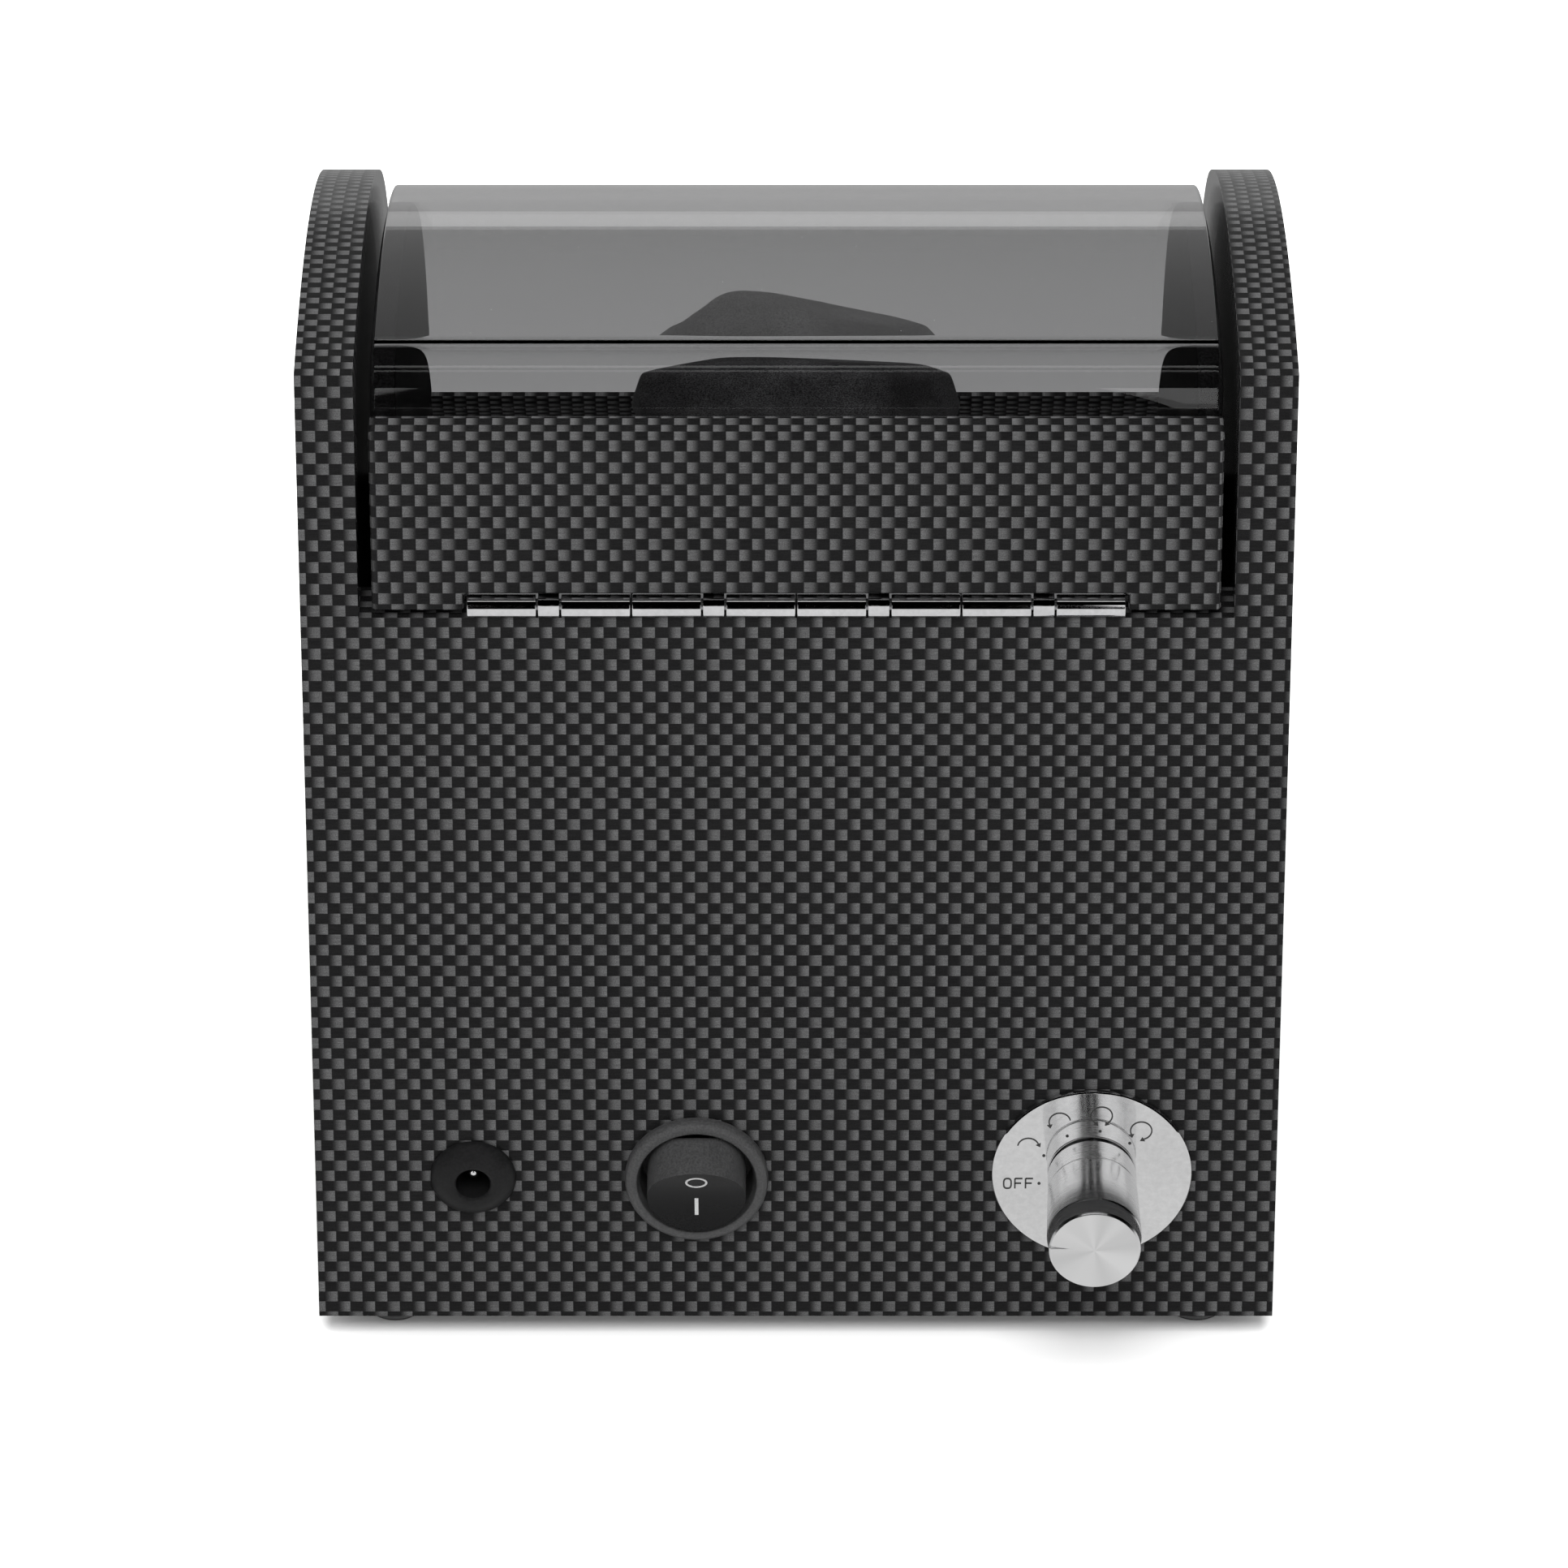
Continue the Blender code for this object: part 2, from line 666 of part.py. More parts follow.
def build_drive(mats):
    """The bracket under the deck, its bush, and the gear motor that turns the pinion."""
    place = turntable_place()
    low = BRACKET_TOP - BRACKET_THICKNESS
    wall = BRACKET_THICKNESS
    foot_top = -DECK_THICKNESS - GAP
    foot_reach = BRACKET_HALF_LENGTH + 0.008
    half = [
        (BRACKET_HALF_LENGTH, low),
        (BRACKET_HALF_LENGTH, foot_top - wall),
        (foot_reach, foot_top - wall),
        (foot_reach, foot_top),
        (BRACKET_HALF_LENGTH - wall, foot_top),
        (BRACKET_HALF_LENGTH - wall, BRACKET_TOP),
    ]
    outline = half + [(-y, z) for y, z in reversed(half)]
    shape = prism([(-0.012, y, z) for y, z in outline], Vector((0.058, 0, 0)))
    bracket = add_object("drive_bracket", shape, mats["steel"], place=place)
    cut(bracket, cylinder("bush_hole_tool", 0.0053, -0.04, -0.02, mats["steel"], place=place))
    motor_place = place @ Matrix.Translation((MOTOR_OFFSET, 0, 0))
    cut(bracket, cylinder("motor_hole_tool", 0.0041, -0.04, -0.02, mats["steel"], place=motor_place))

    bore = AXLE_RADIUS + RUNNING_GAP
    bush_profile = [
        (bore, -0.0255),
        (0.0070, -0.0255),
        (0.0070, BRACKET_TOP + GAP),
        (0.0050, BRACKET_TOP + GAP),
        (0.0050, -0.0342),
        (bore, -0.0342),
    ]
    turned("spindle_bush", bush_profile, mats["brass"], place=place)

    motor_bore = 0.002 + RUNNING_GAP
    top = low - GAP
    motor_profile = [
        (motor_bore, -0.0268),
        (0.0038, -0.0268),
        (0.0038, top),
        (0.0140, top),
        (0.0140, -0.0400),
        (0.0120, -0.0400),
        (0.0120, -0.0600),
        (0.0050, -0.0600),
        (0.0050, -0.0620),
        (0, -0.0620),
        (0, -0.0350),
        (motor_bore, -0.0350),
    ]
    turned("gear_motor", motor_profile, mats["steel"], place=motor_place)
    return motor_place


def build_pinion(mats, motor_place):
    axis = add_axis("pinion_axis", motor_place.translation, motor_place.to_euler())
    half_pitch = math.pi / PINION_TEETH
    pinion = gear("drive_pinion", PINION_TEETH, 0.8, half_pitch, -0.0256, -0.0208, mats["brass"], axis)
    join(pinion, cylinder("pinion_shaft_tool", 0.002, -0.0340, -0.0230, mats["brass"], axis))


def build_board(mats):
    """The control board on four posts, with its timer chip, relay, capacitor and connectors."""
    green = mats["circuit_board"]
    rear_edge = REAR_FACE_Y - 0.106
    floor = FOOT_HEIGHT + BASE_BOARD + GAP
    top = floor + 0.0056
    board = block("control_board", (-0.030, rear_edge - 0.044, floor + 0.004), (0.030, rear_edge, top), green)
    extras = [
        ("timer_chip", (-0.012, rear_edge - 0.032, 0), (0.004, rear_edge - 0.022, 0.0032)),
        ("relay", (0.010, rear_edge - 0.036, 0), (0.026, rear_edge - 0.024, 0.0140)),
    ]
    for index in range(4):
        x = -0.024 + 0.016 * index
        low = (x - 0.004, rear_edge - 0.009, 0)
        high = (x + 0.004, rear_edge - 0.001, 0.007)
        extras.append((f"connector_{index}", low, high))
    for name, low, high in extras:
        low_corner = (low[0], low[1], top - 0.0004)
        high_corner = (high[0], high[1], top + high[2])
        join(board, block(f"{name}_tool", low_corner, high_corner, green))
    for x in (-0.0265, 0.0265):
        for y in (rear_edge - 0.0405, rear_edge - 0.0125):
            spot = Matrix.Translation((x, y, 0))
            post_name = f"post_{x}_{y}_tool"
            join(board, cylinder(post_name, 0.002, floor, top - 0.0004, green, place=spot, steps=12))
    return rear_edge, top


def build_leads(mats, rear_edge, board_top, motor_place):
    """The four leads from the jack, switch, selector and motor to the board's connectors."""
    motor_tail = motor_place @ Vector((0, 0, -0.0620 - GAP))
    motor_down = (motor_place.to_3x3() @ Vector((0, 0, -1))) * 0.006
    starts = (
        ("selector_lead", to_world(SELECTOR_X, 0.0243, SELECTOR_HEIGHT), Vector((0, -0.012, 0))),
        ("switch_lead", to_world(SWITCH_X, 0.0293, CONTROL_HEIGHT), Vector((0, -0.012, -0.002))),
        ("motor_lead", motor_tail, motor_down),
        ("jack_lead", to_world(JACK_X, 0.0213, CONTROL_HEIGHT), Vector((0, -0.012, 0))),
    )
    for index, (name, start, outwards) in enumerate(starts):
        end = Vector((-0.024 + 0.016 * index, rear_edge - 0.001 + GAP, board_top + 0.0035))
        before_end = end + Vector((0, 0.014, 0.001))
        middle = (start + outwards + before_end) / 2
        middle.z = min(middle.z, FOOT_HEIGHT + 0.0165)
        route = smooth_route([start, start + outwards, middle, before_end, end], 0.005)
        curve = bpy.data.curves.new(name, "CURVE")
        curve.dimensions = "3D"
        curve.bevel_depth = 0.0011
        curve.bevel_resolution = 1
        curve.use_fill_caps = True
        spline = curve.splines.new("POLY")
        spline.points.add(len(route) - 1)
        for point, spot in zip(spline.points, route):
            point.co = (*spot, 1)
        curve.materials.append(mats["lead_insulation"])
        bpy.context.collection.objects.link(bpy.data.objects.new(name, curve))


# ---- Rear controls ----


def build_jack(mats):
    place = facing_rear(JACK_X, CONTROL_HEIGHT)
    dome = []
    rim_radius = 0.00685
    mouth_radius = 0.0033
    dome_height = 0.0029
    for step in range(5):
        share = step / 4
        radius = rim_radius + (mouth_radius - rim_radius) * share
        dome.append((radius, 0.0007 + (dome_height - 0.0007) * math.sin(share * math.pi / 2) ** 0.8))
    body_profile = (
        [(0.0055, GAP), (rim_radius, GAP)]
        + dome
        + [
            (0.00275, 0.0024),
            (0.00275, -0.0095),
            (0.0013, -0.0095),
            (0.0013, -0.0190),
            (0.0045, -0.0190),
            (0.0045, -0.0155),
            (0.0055, -0.0155),
        ]
    )
    turned("dc_jack_body", body_profile, mats["black_plastic"], place=place, steps=28)
    pin_profile = [(0, -0.0002), (0.0006, -0.0003), (0.00095, -0.0008), (0.00095, -0.0210), (0, -0.0210)]
    turned("dc_jack_pin", pin_profile, mats["chrome"], place=place, steps=16)
    nut_low = -BOARD - 0.0025
    hex_nut("dc_jack_nut", 0.0078, 0.0058, nut_low, -BOARD - GAP, mats["steel"], place)


def hex_nut(name, corner_radius, bore, low, high, material, place):
    nut = cylinder(name, corner_radius, low, high, material, place=place, steps=6)
    cut(nut, cylinder(f"{name}_bore_tool", bore, low - 0.01, high + 0.01, material, place=place))


def build_switch(mats):
    """A round rocker switch. The rocker rests with its upper half out and its lower half in."""
    place = facing_rear(SWITCH_X, CONTROL_HEIGHT)
    housing_profile = [
        (0, -0.0060),
        (0.0091, -0.0060),
        (0.0091, 0.0012),
        (0.0096, 0.0024),
        (0.0107, 0.0024),
        (0.0113, 0.0019),
        (0.0115, 0.0012),
        (0.0115, GAP),
        (0.0098, GAP),
        (0.0098, -0.0210),
        (0, -0.0210),
    ]
    housing = turned("switch_housing", housing_profile, mats["black_plastic"], place=place)
    for index, x in enumerate((-0.0045, 0.0045)):
        low = (x - 0.0003, -0.0024, -0.0290)
        high = (x + 0.0003, 0.0024, -0.0200)
        join(housing, block(f"switch_blade_{index}_tool", low, high, mats["brass"], place=place))

    pivot = facing_rear(SWITCH_X, CONTROL_HEIGHT, ROCKER_PIVOT)
    axis = add_axis("rocker_axis", pivot.translation)
    # In this space X is across, Y is up the face and Z is out of the box.
    tilted = Matrix.Rotation(math.radians(-90), 4, "X") @ Matrix.Rotation(math.pi, 4, "Z")
    tilted = Matrix.Rotation(-ROCKER_TILT, 4, "X") @ tilted
    radius = 0.0079
    corner_out = 0.0032
    end_radius = math.hypot(radius, corner_out)
    foot_out = -0.0045
    foot_radius = 0.0083
    foot_half = math.sqrt(foot_radius**2 - foot_out**2)
    lower = [(foot_half, foot_out)]
    for step in range(1, 5):
        angle = math.asin(foot_out / foot_radius) * (1 - step / 4)
        reach = foot_radius + (end_radius - foot_radius) * step / 4
        lower.append((reach * math.cos(angle), reach * math.sin(angle)))
    half = lower + [(math.sqrt(end_radius**2 - corner_out**2), corner_out)]
    hollow = [(0.0040, corner_out - 0.0007), (0, corner_out - 0.0010), (-0.0040, corner_out - 0.0007)]
    outline = half + hollow + [(-y, z) for y, z in reversed(half)]
    shape = prism([(-0.01, y, z) for y, z in outline], Vector((0.02, 0, 0)))
    rocker = add_object("switch_rocker", shape, mats["gloss_plastic"], axis, tilted)
    drum = cylinder("rocker_drum_tool", radius, -0.01, 0.01, mats["gloss_plastic"], axis, tilted)
    combine(rocker, drum, "INTERSECT")


def build_selector(mats):
    """The rotary selector: plate, nut and switch body fixed to the panel, shaft and knob turning."""
    place = facing_rear(SELECTOR_X, SELECTOR_HEIGHT)
    bush_radius = 0.0035
    plate_profile = [
        (0.0038, GAP),
        (0.0160, GAP),
        (0.0160, 0.0009),
        (0.0158, 0.0011),
        (0.0038, 0.0011),
    ]
    turned("selector_plate", plate_profile, mats["polished_aluminium"], place=place, steps=40)
    hex_nut("selector_nut", 0.0057, bush_radius + GAP, 0.0014, 0.0034, mats["steel"], place)
    bore = AXLE_RADIUS + RUNNING_GAP
    body_profile = [
        (bore, 0.0036),
        (bush_radius, 0.0036),
        (bush_radius, -BOARD - GAP),
        (0.0082, -BOARD - GAP),
        (0.0082, -0.0240),
        (0, -0.0240),
        (0, -0.0160),
        (bore, -0.0160),
    ]
    turned("selector_body", body_profile, mats["steel"], place=place)

    axis = add_axis("selector_axis", place.translation, (math.radians(-90), 0, 0))
    cylinder("selector_shaft", AXLE_RADIUS, -0.0155, 0.0118, mats["brass"], axis)
    shaft_bore = AXLE_RADIUS + GAP
    knob_profile = [
        (shaft_bore, 0.0042),
        (0.0063, 0.0042),
        (0.0063, 0.0016),
        (0.0071, 0.0016),
        (0.0071, 0.0062),
        (0.0069, 0.0063),
        (0.0069, 0.0065),
        (0.0072, 0.0066),
        (0.00755, 0.0183),
        (0.0073, 0.0187),
        (0.0073, 0.0216),
        (0.0070, KNOB_REACH),
        (0, KNOB_REACH),
        (0, 0.0122),
        (shaft_bore, 0.0122),
    ]
    knob = turned("selector_knob", knob_profile, mats["polished_aluminium"], axis, steps=40)
    notch = block(
        "pointer_notch_tool",
        (0.0040, -0.0003, KNOB_REACH - 0.0005),
        (0.0090, 0.0003, KNOB_REACH + 0.001),
        mats["polished_aluminium"],
        axis,
        Matrix.Rotation(math.radians(-5), 4, "Z"),
    )
    cut(knob, notch)
    screw_place = Matrix.Translation((0, 0, 0.0095)) @ Matrix.Rotation(math.radians(-90), 4, "X")
    screw_hole = cylinder("screw_hole_tool", 0.0018, 0.001, 0.009, mats["steel"], axis, screw_place)
    cut(knob, screw_hole)
    cylinder("knob_set_screw", 0.0015, AXLE_RADIUS + GAP, 0.0068, mats["steel"], axis, screw_place, steps=16)


def main():
    for item in list(bpy.data.objects):
        bpy.data.objects.remove(item, do_unlink=True)
    mats = make_materials()
    lid_axis = add_axis("lid_axis", to_world(0, HINGE_DEPTH, HINGE_HEIGHT))
    front = build_cabinet(mats)
    build_feet(mats)
    front_rail = build_lid(mats, lid_axis)
    build_latch(mats, front, front_rail, lid_axis)
    build_hinges(mats, lid_axis)
    place = turntable_place()
    build_turntable(mats, add_axis("turntable_axis", place.translation, place.to_euler()))
    motor_place = build_drive(mats)
    build_pinion(mats, motor_place)
    rear_edge, board_top = build_board(mats)
    build_leads(mats, rear_edge, board_top, motor_place)
    build_jack(mats)
    build_switch(mats)
    build_selector(mats)


main()
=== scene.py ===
"""Looks for the watch winder box: film-wrapped cabinet, smoked acrylic lid, chrome hinges, turned
metal selector, rocker switch, power jack, velvet lining and a soft watch pillow.

Metres, +Z up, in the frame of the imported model. The rear face with the controls faces +Y.
Cabinet and lid pieces are drawn as side outlines: (depth, height) pairs, where depth runs forwards
from the rear face and height runs up from the underside of the cabinet.
"""

import json
import math
import random

import bmesh
import bpy
from mathutils import Matrix, Vector


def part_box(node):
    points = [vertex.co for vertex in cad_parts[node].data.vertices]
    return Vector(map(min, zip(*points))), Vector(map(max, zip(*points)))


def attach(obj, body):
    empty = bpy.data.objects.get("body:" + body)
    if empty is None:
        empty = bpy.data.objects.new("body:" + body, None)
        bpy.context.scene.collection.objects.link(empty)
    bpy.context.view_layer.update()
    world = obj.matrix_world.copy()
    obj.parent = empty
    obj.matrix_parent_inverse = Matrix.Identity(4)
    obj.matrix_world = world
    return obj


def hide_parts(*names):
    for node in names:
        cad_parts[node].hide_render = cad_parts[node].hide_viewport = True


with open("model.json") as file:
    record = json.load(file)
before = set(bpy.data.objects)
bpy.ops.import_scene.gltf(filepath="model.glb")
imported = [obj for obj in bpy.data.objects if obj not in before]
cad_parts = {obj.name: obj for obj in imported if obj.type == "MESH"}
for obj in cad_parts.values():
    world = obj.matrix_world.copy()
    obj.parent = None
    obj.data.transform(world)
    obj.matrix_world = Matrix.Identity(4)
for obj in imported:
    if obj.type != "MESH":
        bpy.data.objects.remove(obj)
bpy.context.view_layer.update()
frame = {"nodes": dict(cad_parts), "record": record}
NODES = frame["nodes"]

TURN = 2 * math.pi

# Cabinet and lid, as in the part
REAR_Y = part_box("rear_panel")[1].y
FOOT_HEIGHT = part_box("left_side_panel")[0].z
WIDTH = 0.154
DEPTH = 0.176
CABINET_HEIGHT = 0.1772
BOARD = 0.009
GAP = 0.0003
REAR_PANEL_TOP = 0.1333
FRONT_PANEL_TOP = 0.0518
ROOF_RADIUS = 0.236
ROOF_TURN = math.radians(32)
FRONT_RADIUS = (DEPTH - ROOF_RADIUS * math.sin(ROOF_TURN)) / (1 - math.sin(ROOF_TURN))
TILT = math.radians(25)
SEAM_REAR_HEIGHT = 0.1337
SEAM_CLEARANCE = 0.00025
DECK_DROP = 0.009
LID_HALF_WIDTH = 0.06585
CHEEK = 0.004
REAR_RAIL_BOTTOM = 0.1345
REAR_RAIL_TOP = 0.1665
RAIL = 0.0092
WINDOW_SETBACK = 0.007
WINDOW_INSET = 0.0025
WINDOW_THICKNESS = 0.0025
WINDOW_INNER = WINDOW_INSET + WINDOW_THICKNESS
WINDOW_BEND = 0.0095
WINDOW_FLANGE_BOTTOM = 0.150
WINDOW_HALF_WIDTH = 0.0652
FRONT_RAIL_BOTTOM = 0.0522
FRONT_RAIL_TOP_ANGLE = math.radians(81.5)
FRONT_LIP_ANGLE = math.radians(77)
CABINET_EDGE = 0.0014
RAIL_EDGE = 0.0007

# Upright pockets for the two magnets and their strike discs
POCKET_X = 0.045
POCKET_RADIUS = 0.0028
POCKET_DEPTH = 0.0025

# Hinges
HINGE_LENGTH = 0.0256
HINGE_COUNT = 4
HINGE_DEPTH = 0.0002
HINGE_HEIGHT = 0.1354
BARREL_RADIUS = 0.0018
BARREL_BORE = 0.00095
PIN_RADIUS = 0.0007
LEAF_LENGTH = 0.008
LEAF_THICKNESS = 0.0006
MIDDLE_KNUCKLE = 0.0033
HINGE_NOTCH_HALF_WIDTH = 0.0515
HINGE_NOTCH_TOP = 0.1375

# Turntable
TURNTABLE_DEPTH = 0.088
PILLOW_TURN = math.radians(-32)

# Rear controls
CONTROL_HEIGHT = 0.0277
SELECTOR_HEIGHT = 0.02856
JACK_X = 0.0517
SWITCH_X = 0.0159
SELECTOR_X = -0.0474
JACK_HOLE = 0.0056
SWITCH_HOLE = 0.0101
SELECTOR_HOLE = 0.0038
PLATE_RADIUS = 0.0160
PLATE_TOP = 0.0011
KNOB_REACH = 0.0221
ROCKER_PIVOT = 0.003
ROCKER_TILT = math.radians(20)

# Camera, level from side to side and turned to face the rear of the box
CAMERA_SPOT = (0.0019, 1.56455, 1.0747)
CAMERA_PITCH = math.radians(33.03)
CAMERA_LENS = 260.0

# Weave of the printed film, and where its first yarn starts: across each sheet and up it
YARN_LENGTH = 0.004
YARN_WIDTH = 0.00198
CABINET_FILM_START = (0.002108, 0.11479)
REAR_RAIL_FILM_START = (0.03286, 0.15268)
FRONT_RAIL_FILM_START = (0.0, 0.0)


# ---- Node materials ----


class Paint:
    """One node material, built up through short calls."""

    def __init__(self, name):
        self.material = bpy.data.materials.new(name)
        self.material.use_nodes = True
        self.tree = self.material.node_tree
        self.shader = self.tree.nodes["Principled BSDF"]

    def put(self, socket, value):
        if isinstance(value, bpy.types.NodeSocket):
            self.tree.links.new(value, socket)
        elif socket.type == "RGBA":
            socket.default_value = (*value, 1.0)
        else:
            socket.default_value = value

    def set(self, **inputs):
        """Inputs of the surface shader, with spaces in their names written as underscores."""
        for name, value in inputs.items():
            self.put(self.shader.inputs[name.replace("_", " ")], value)
        return self

    def node(self, kind, inputs=(), **settings):
        """Adds a node, with its inputs in order or by name, and returns its outputs."""
        node = self.tree.nodes.new("ShaderNode" + kind)
        for name, value in settings.items():
            setattr(node, name, value)
        for key, value in inputs.items() if isinstance(inputs, dict) else enumerate(inputs):
            self.put(node.inputs[key], value)
        return node.outputs

    def place(self):
        return self.node("TexCoord")["Object"]

    def math(self, operation, a, b=0.0):
        return self.node("Math", (a, b), operation=operation)[0]

    def plus(self, a, b):
        return self.math("ADD", a, b)

    def times(self, a, b):
        return self.math("MULTIPLY", a, b)

    def scaled(self, vector, factors):
        return self.node("VectorMath", (vector, factors), operation="MULTIPLY")[0]

    def split(self, vector):
        return self.node("SeparateXYZ", (vector,))

    def merge(self, x, y, z=0.0):
        return self.node("CombineXYZ", (x, y, z))[0]

    def noise(self, vector, scale, detail=2.0, roughness=0.5):
        inputs = {"Vector": vector, "Scale": scale, "Detail": detail, "Roughness": roughness}
        return self.node("TexNoise", inputs)[0]

    def chance(self, vector):
        return self.node("TexWhiteNoise", {"Vector": vector})["Value"]

    def specks(self, vector, scale):
        return self.node("TexVoronoi", {"Vector": vector, "Scale": scale})["Distance"]

    def remap(self, value, low, high, to_low, to_high, smooth=True):
        style = "SMOOTHSTEP" if smooth else "LINEAR"
        return self.node("MapRange", (value, low, high, to_low, to_high), interpolation_type=style)[0]

    def vary(self, noise, to_low, to_high, smooth=True):
        """Spreads a noise, which lies mostly between 0.3 and 0.7, over to_low to to_high."""
        return self.remap(noise, 0.3, 0.7, to_low, to_high, smooth)

    def mix(self, share, a, b):
        return self.node("Mix", {"Factor": share, "A": a, "B": b}, data_type="RGBA")["Result"]

    def bump(self, height, depth, strength):
        inputs = {"Height": height, "Distance": depth, "Strength": strength}
        return self.set(Normal=self.node("Bump", inputs)[0])


def film_material():
    """Printed carbon weave under clear lacquer. Each yarn span is dark, then bright to a sharp end."""
    paint = Paint("carbon_weave_film")
    right, up, _ = paint.split(paint.node("UVMap", uv_map="film")[0])
    row = paint.math("FLOOR", paint.math("DIVIDE", up, YARN_WIDTH))
    along = paint.plus(paint.math("DIVIDE", right, YARN_LENGTH), paint.times(row, 0.5))
    span = paint.math("FLOOR", along)
    part = paint.math("SUBTRACT", along, span)
    luck = paint.chance(paint.merge(span, row))
    streaks = paint.noise(paint.merge(paint.times(right, 420.0), paint.times(up, 5200.0), luck), 1.0, 3.0)
    start = paint.plus(0.30, paint.times(paint.plus(luck, streaks), 0.14))
    rise = paint.remap(part, start, paint.plus(start, 0.42), 0.0, 1.0)
    sharp_end = paint.remap(part, 0.97, 1.0, 1.0, 0.0)
    lit = paint.times(rise, sharp_end)
    grain = paint.noise(paint.merge(right, up), 5200.0, 2.0)
    shade = paint.times(paint.vary(streaks, 0.78, 1.2, False), paint.remap(luck, 0.0, 1.0, 0.88, 1.08, False))
    shade = paint.times(shade, paint.vary(grain, 0.66, 1.36, False))
    bright = paint.scaled((0.058, 0.058, 0.0588), shade)
    dark = paint.scaled((0.0060, 0.0060, 0.0061), shade)
    paint.set(Base_Color=paint.mix(lit, dark, bright), Roughness=paint.vary(grain, 0.16, 0.24, False))
    paint.set(Specular_IOR_Level=0.04, Coat_Weight=0.03, Coat_Roughness=0.02)
    return paint.bump(streaks, 0.00001, 0.4).material


def velvet_material(name, tone, fuzz=0.0):
    """Short black pile: fine grain, and a soft nap that turns lighter in patches."""
    paint = Paint(name)
    spot = paint.place()
    nap = paint.noise(spot, 90.0, 3.0)
    grain = paint.noise(spot, 3600.0, 2.0)
    light = paint.times(paint.vary(nap, 0.7, 1.3), paint.remap(grain, 0.35, 0.65, 0.4, 1.8))
    paint.set(Base_Color=paint.scaled(tone, light), Roughness=0.95, Specular_IOR_Level=0.1)
    paint.set(Sheen_Weight=fuzz, Sheen_Roughness=0.35)
    return paint.bump(grain, 0.00015, 0.6).material


def acrylic_material():
    """Smoked clear sheet, with a little haze from handling and a few specks of dust."""
    paint = Paint("smoked_acrylic")
    spot = paint.place()
    smoke = paint.vary(paint.noise(spot, 14.0, 2.0), 0.985, 1.0)
    dust = paint.remap(paint.specks(spot, 260.0), 0.012, 0.03, 0.35, 0.0)
    haze = paint.remap(paint.noise(spot, 60.0, 4.0), 0.55, 0.8, 0.0, 0.03)
    paint.set(Base_Color=paint.scaled((0.77, 0.77, 0.775), smoke), Transmission_Weight=1.0, IOR=1.49)
    paint.set(Roughness=paint.plus(dust, haze))
    return paint.material


def metal_material(name, colour, roughness, brushing=(1.0, 1.0, 1.0)):
    """Metal with fine tool marks drawn out along one direction, and a few faint smears."""
    paint = Paint(name)
    spot = paint.place()
    marks = paint.noise(paint.scaled(spot, brushing), 900.0, 3.0, 0.6)
    smears = paint.noise(spot, 70.0, 3.0)
    light = paint.times(paint.vary(marks, 0.93, 1.05, False), paint.vary(smears, 0.96, 1.03))
    dull = paint.remap(paint.plus(marks, smears), 0.6, 1.4, roughness * 0.6, roughness * 1.5, False)
    paint.set(Base_Color=paint.scaled(colour, light), Metallic=1.0, Roughness=dull)
    return paint.bump(marks, 0.000002, 0.3).material


def spun_material():
    """An end face turned in fine rings, with radial fans of painted reflection: its colour turns lighter and
    darker by angle round the centre, where the rings throw light out.
    """
    paint = Paint("spun_aluminium")
    x, y, _ = paint.split(paint.place())
    radius = paint.math("SQRT", paint.plus(paint.times(x, x), paint.times(y, y)))
    rings = paint.noise(paint.merge(paint.times(radius, 16000.0), 0.0), 1.0, 3.0)
    direction = paint.merge(paint.math("DIVIDE", x, radius), paint.math("DIVIDE", y, radius))
    # Painted reflection: the colour is made lighter and darker by angle round the centre, in radial fans
    painted_reflection_fans = paint.vary(paint.noise(direction, 1.0, 1.0), 0.90, 1.10)
    # The rings' tone is real; the fans multiplied into it are painted reflection
    tone = paint.times(painted_reflection_fans, paint.vary(rings, 0.95, 1.03, False))
    paint.set(Base_Color=paint.scaled((0.84, 0.84, 0.842), tone), Metallic=1.0)
    around = paint.node("Tangent", direction_type="RADIAL", axis="Z")[0]
    paint.set(Roughness=0.24, Anisotropic=0.85, Tangent=around)
    return paint.bump(rings, 0.000002, 0.5).material


def plastic_material(name, colour, roughness, grain_scale=2600.0, grain_depth=0.00002, specular=0.4):
    """Moulded plastic or rubber with a fine spark-eroded grain and slightly uneven gloss."""
    paint = Paint(name)
    spot = paint.place()
    grain = paint.noise(spot, grain_scale, 2.0)
    wear = paint.noise(spot, 120.0, 4.0)
    colour = paint.scaled(colour, paint.vary(grain, 0.75, 1.3, False))
    gloss = paint.remap(wear, 0.3, 0.75, roughness * 0.8, roughness * 1.25)
    paint.set(Base_Color=colour, Roughness=gloss, Specular_IOR_Level=specular)
    return paint.bump(grain, grain_depth, 0.5).material


def board_material():
    """Green solder mask with paler copper tracks under it."""
    paint = Paint("circuit_board")
    x, y, _ = paint.split(paint.place())
    stepped = paint.plus(x, paint.math("SNAP", y, 0.006))
    shine = paint.remap(paint.math("FRACT", paint.times(stepped, 420.0)), 0.42, 0.5, 0.0, 1.0)
    paint.set(Base_Color=paint.mix(shine, (0.012, 0.075, 0.03), (0.03, 0.15, 0.05)), Roughness=0.35)
    return paint.material


def print_material(name, colour):
    """Screen print: solid ink with a slightly uneven edge of coverage."""
    paint = Paint(name)
    ink = paint.noise(paint.place(), 5000.0, 2.0)
    paint.set(Base_Color=paint.scaled(colour, paint.vary(ink, 0.85, 1.1)), Roughness=0.5)
    return paint.material


def card_material(name, glow):
    """An evenly lit card that only mirrors and clear sheets see."""
    paint = Paint(name)
    shade = paint.vary(paint.noise(paint.place(), 3.0, 2.0), glow * 0.97, glow)
    paint.set(Base_Color=(0, 0, 0), Specular_IOR_Level=0.0, Emission_Color=(1, 1, 1), Emission_Strength=shade)
    return paint.material


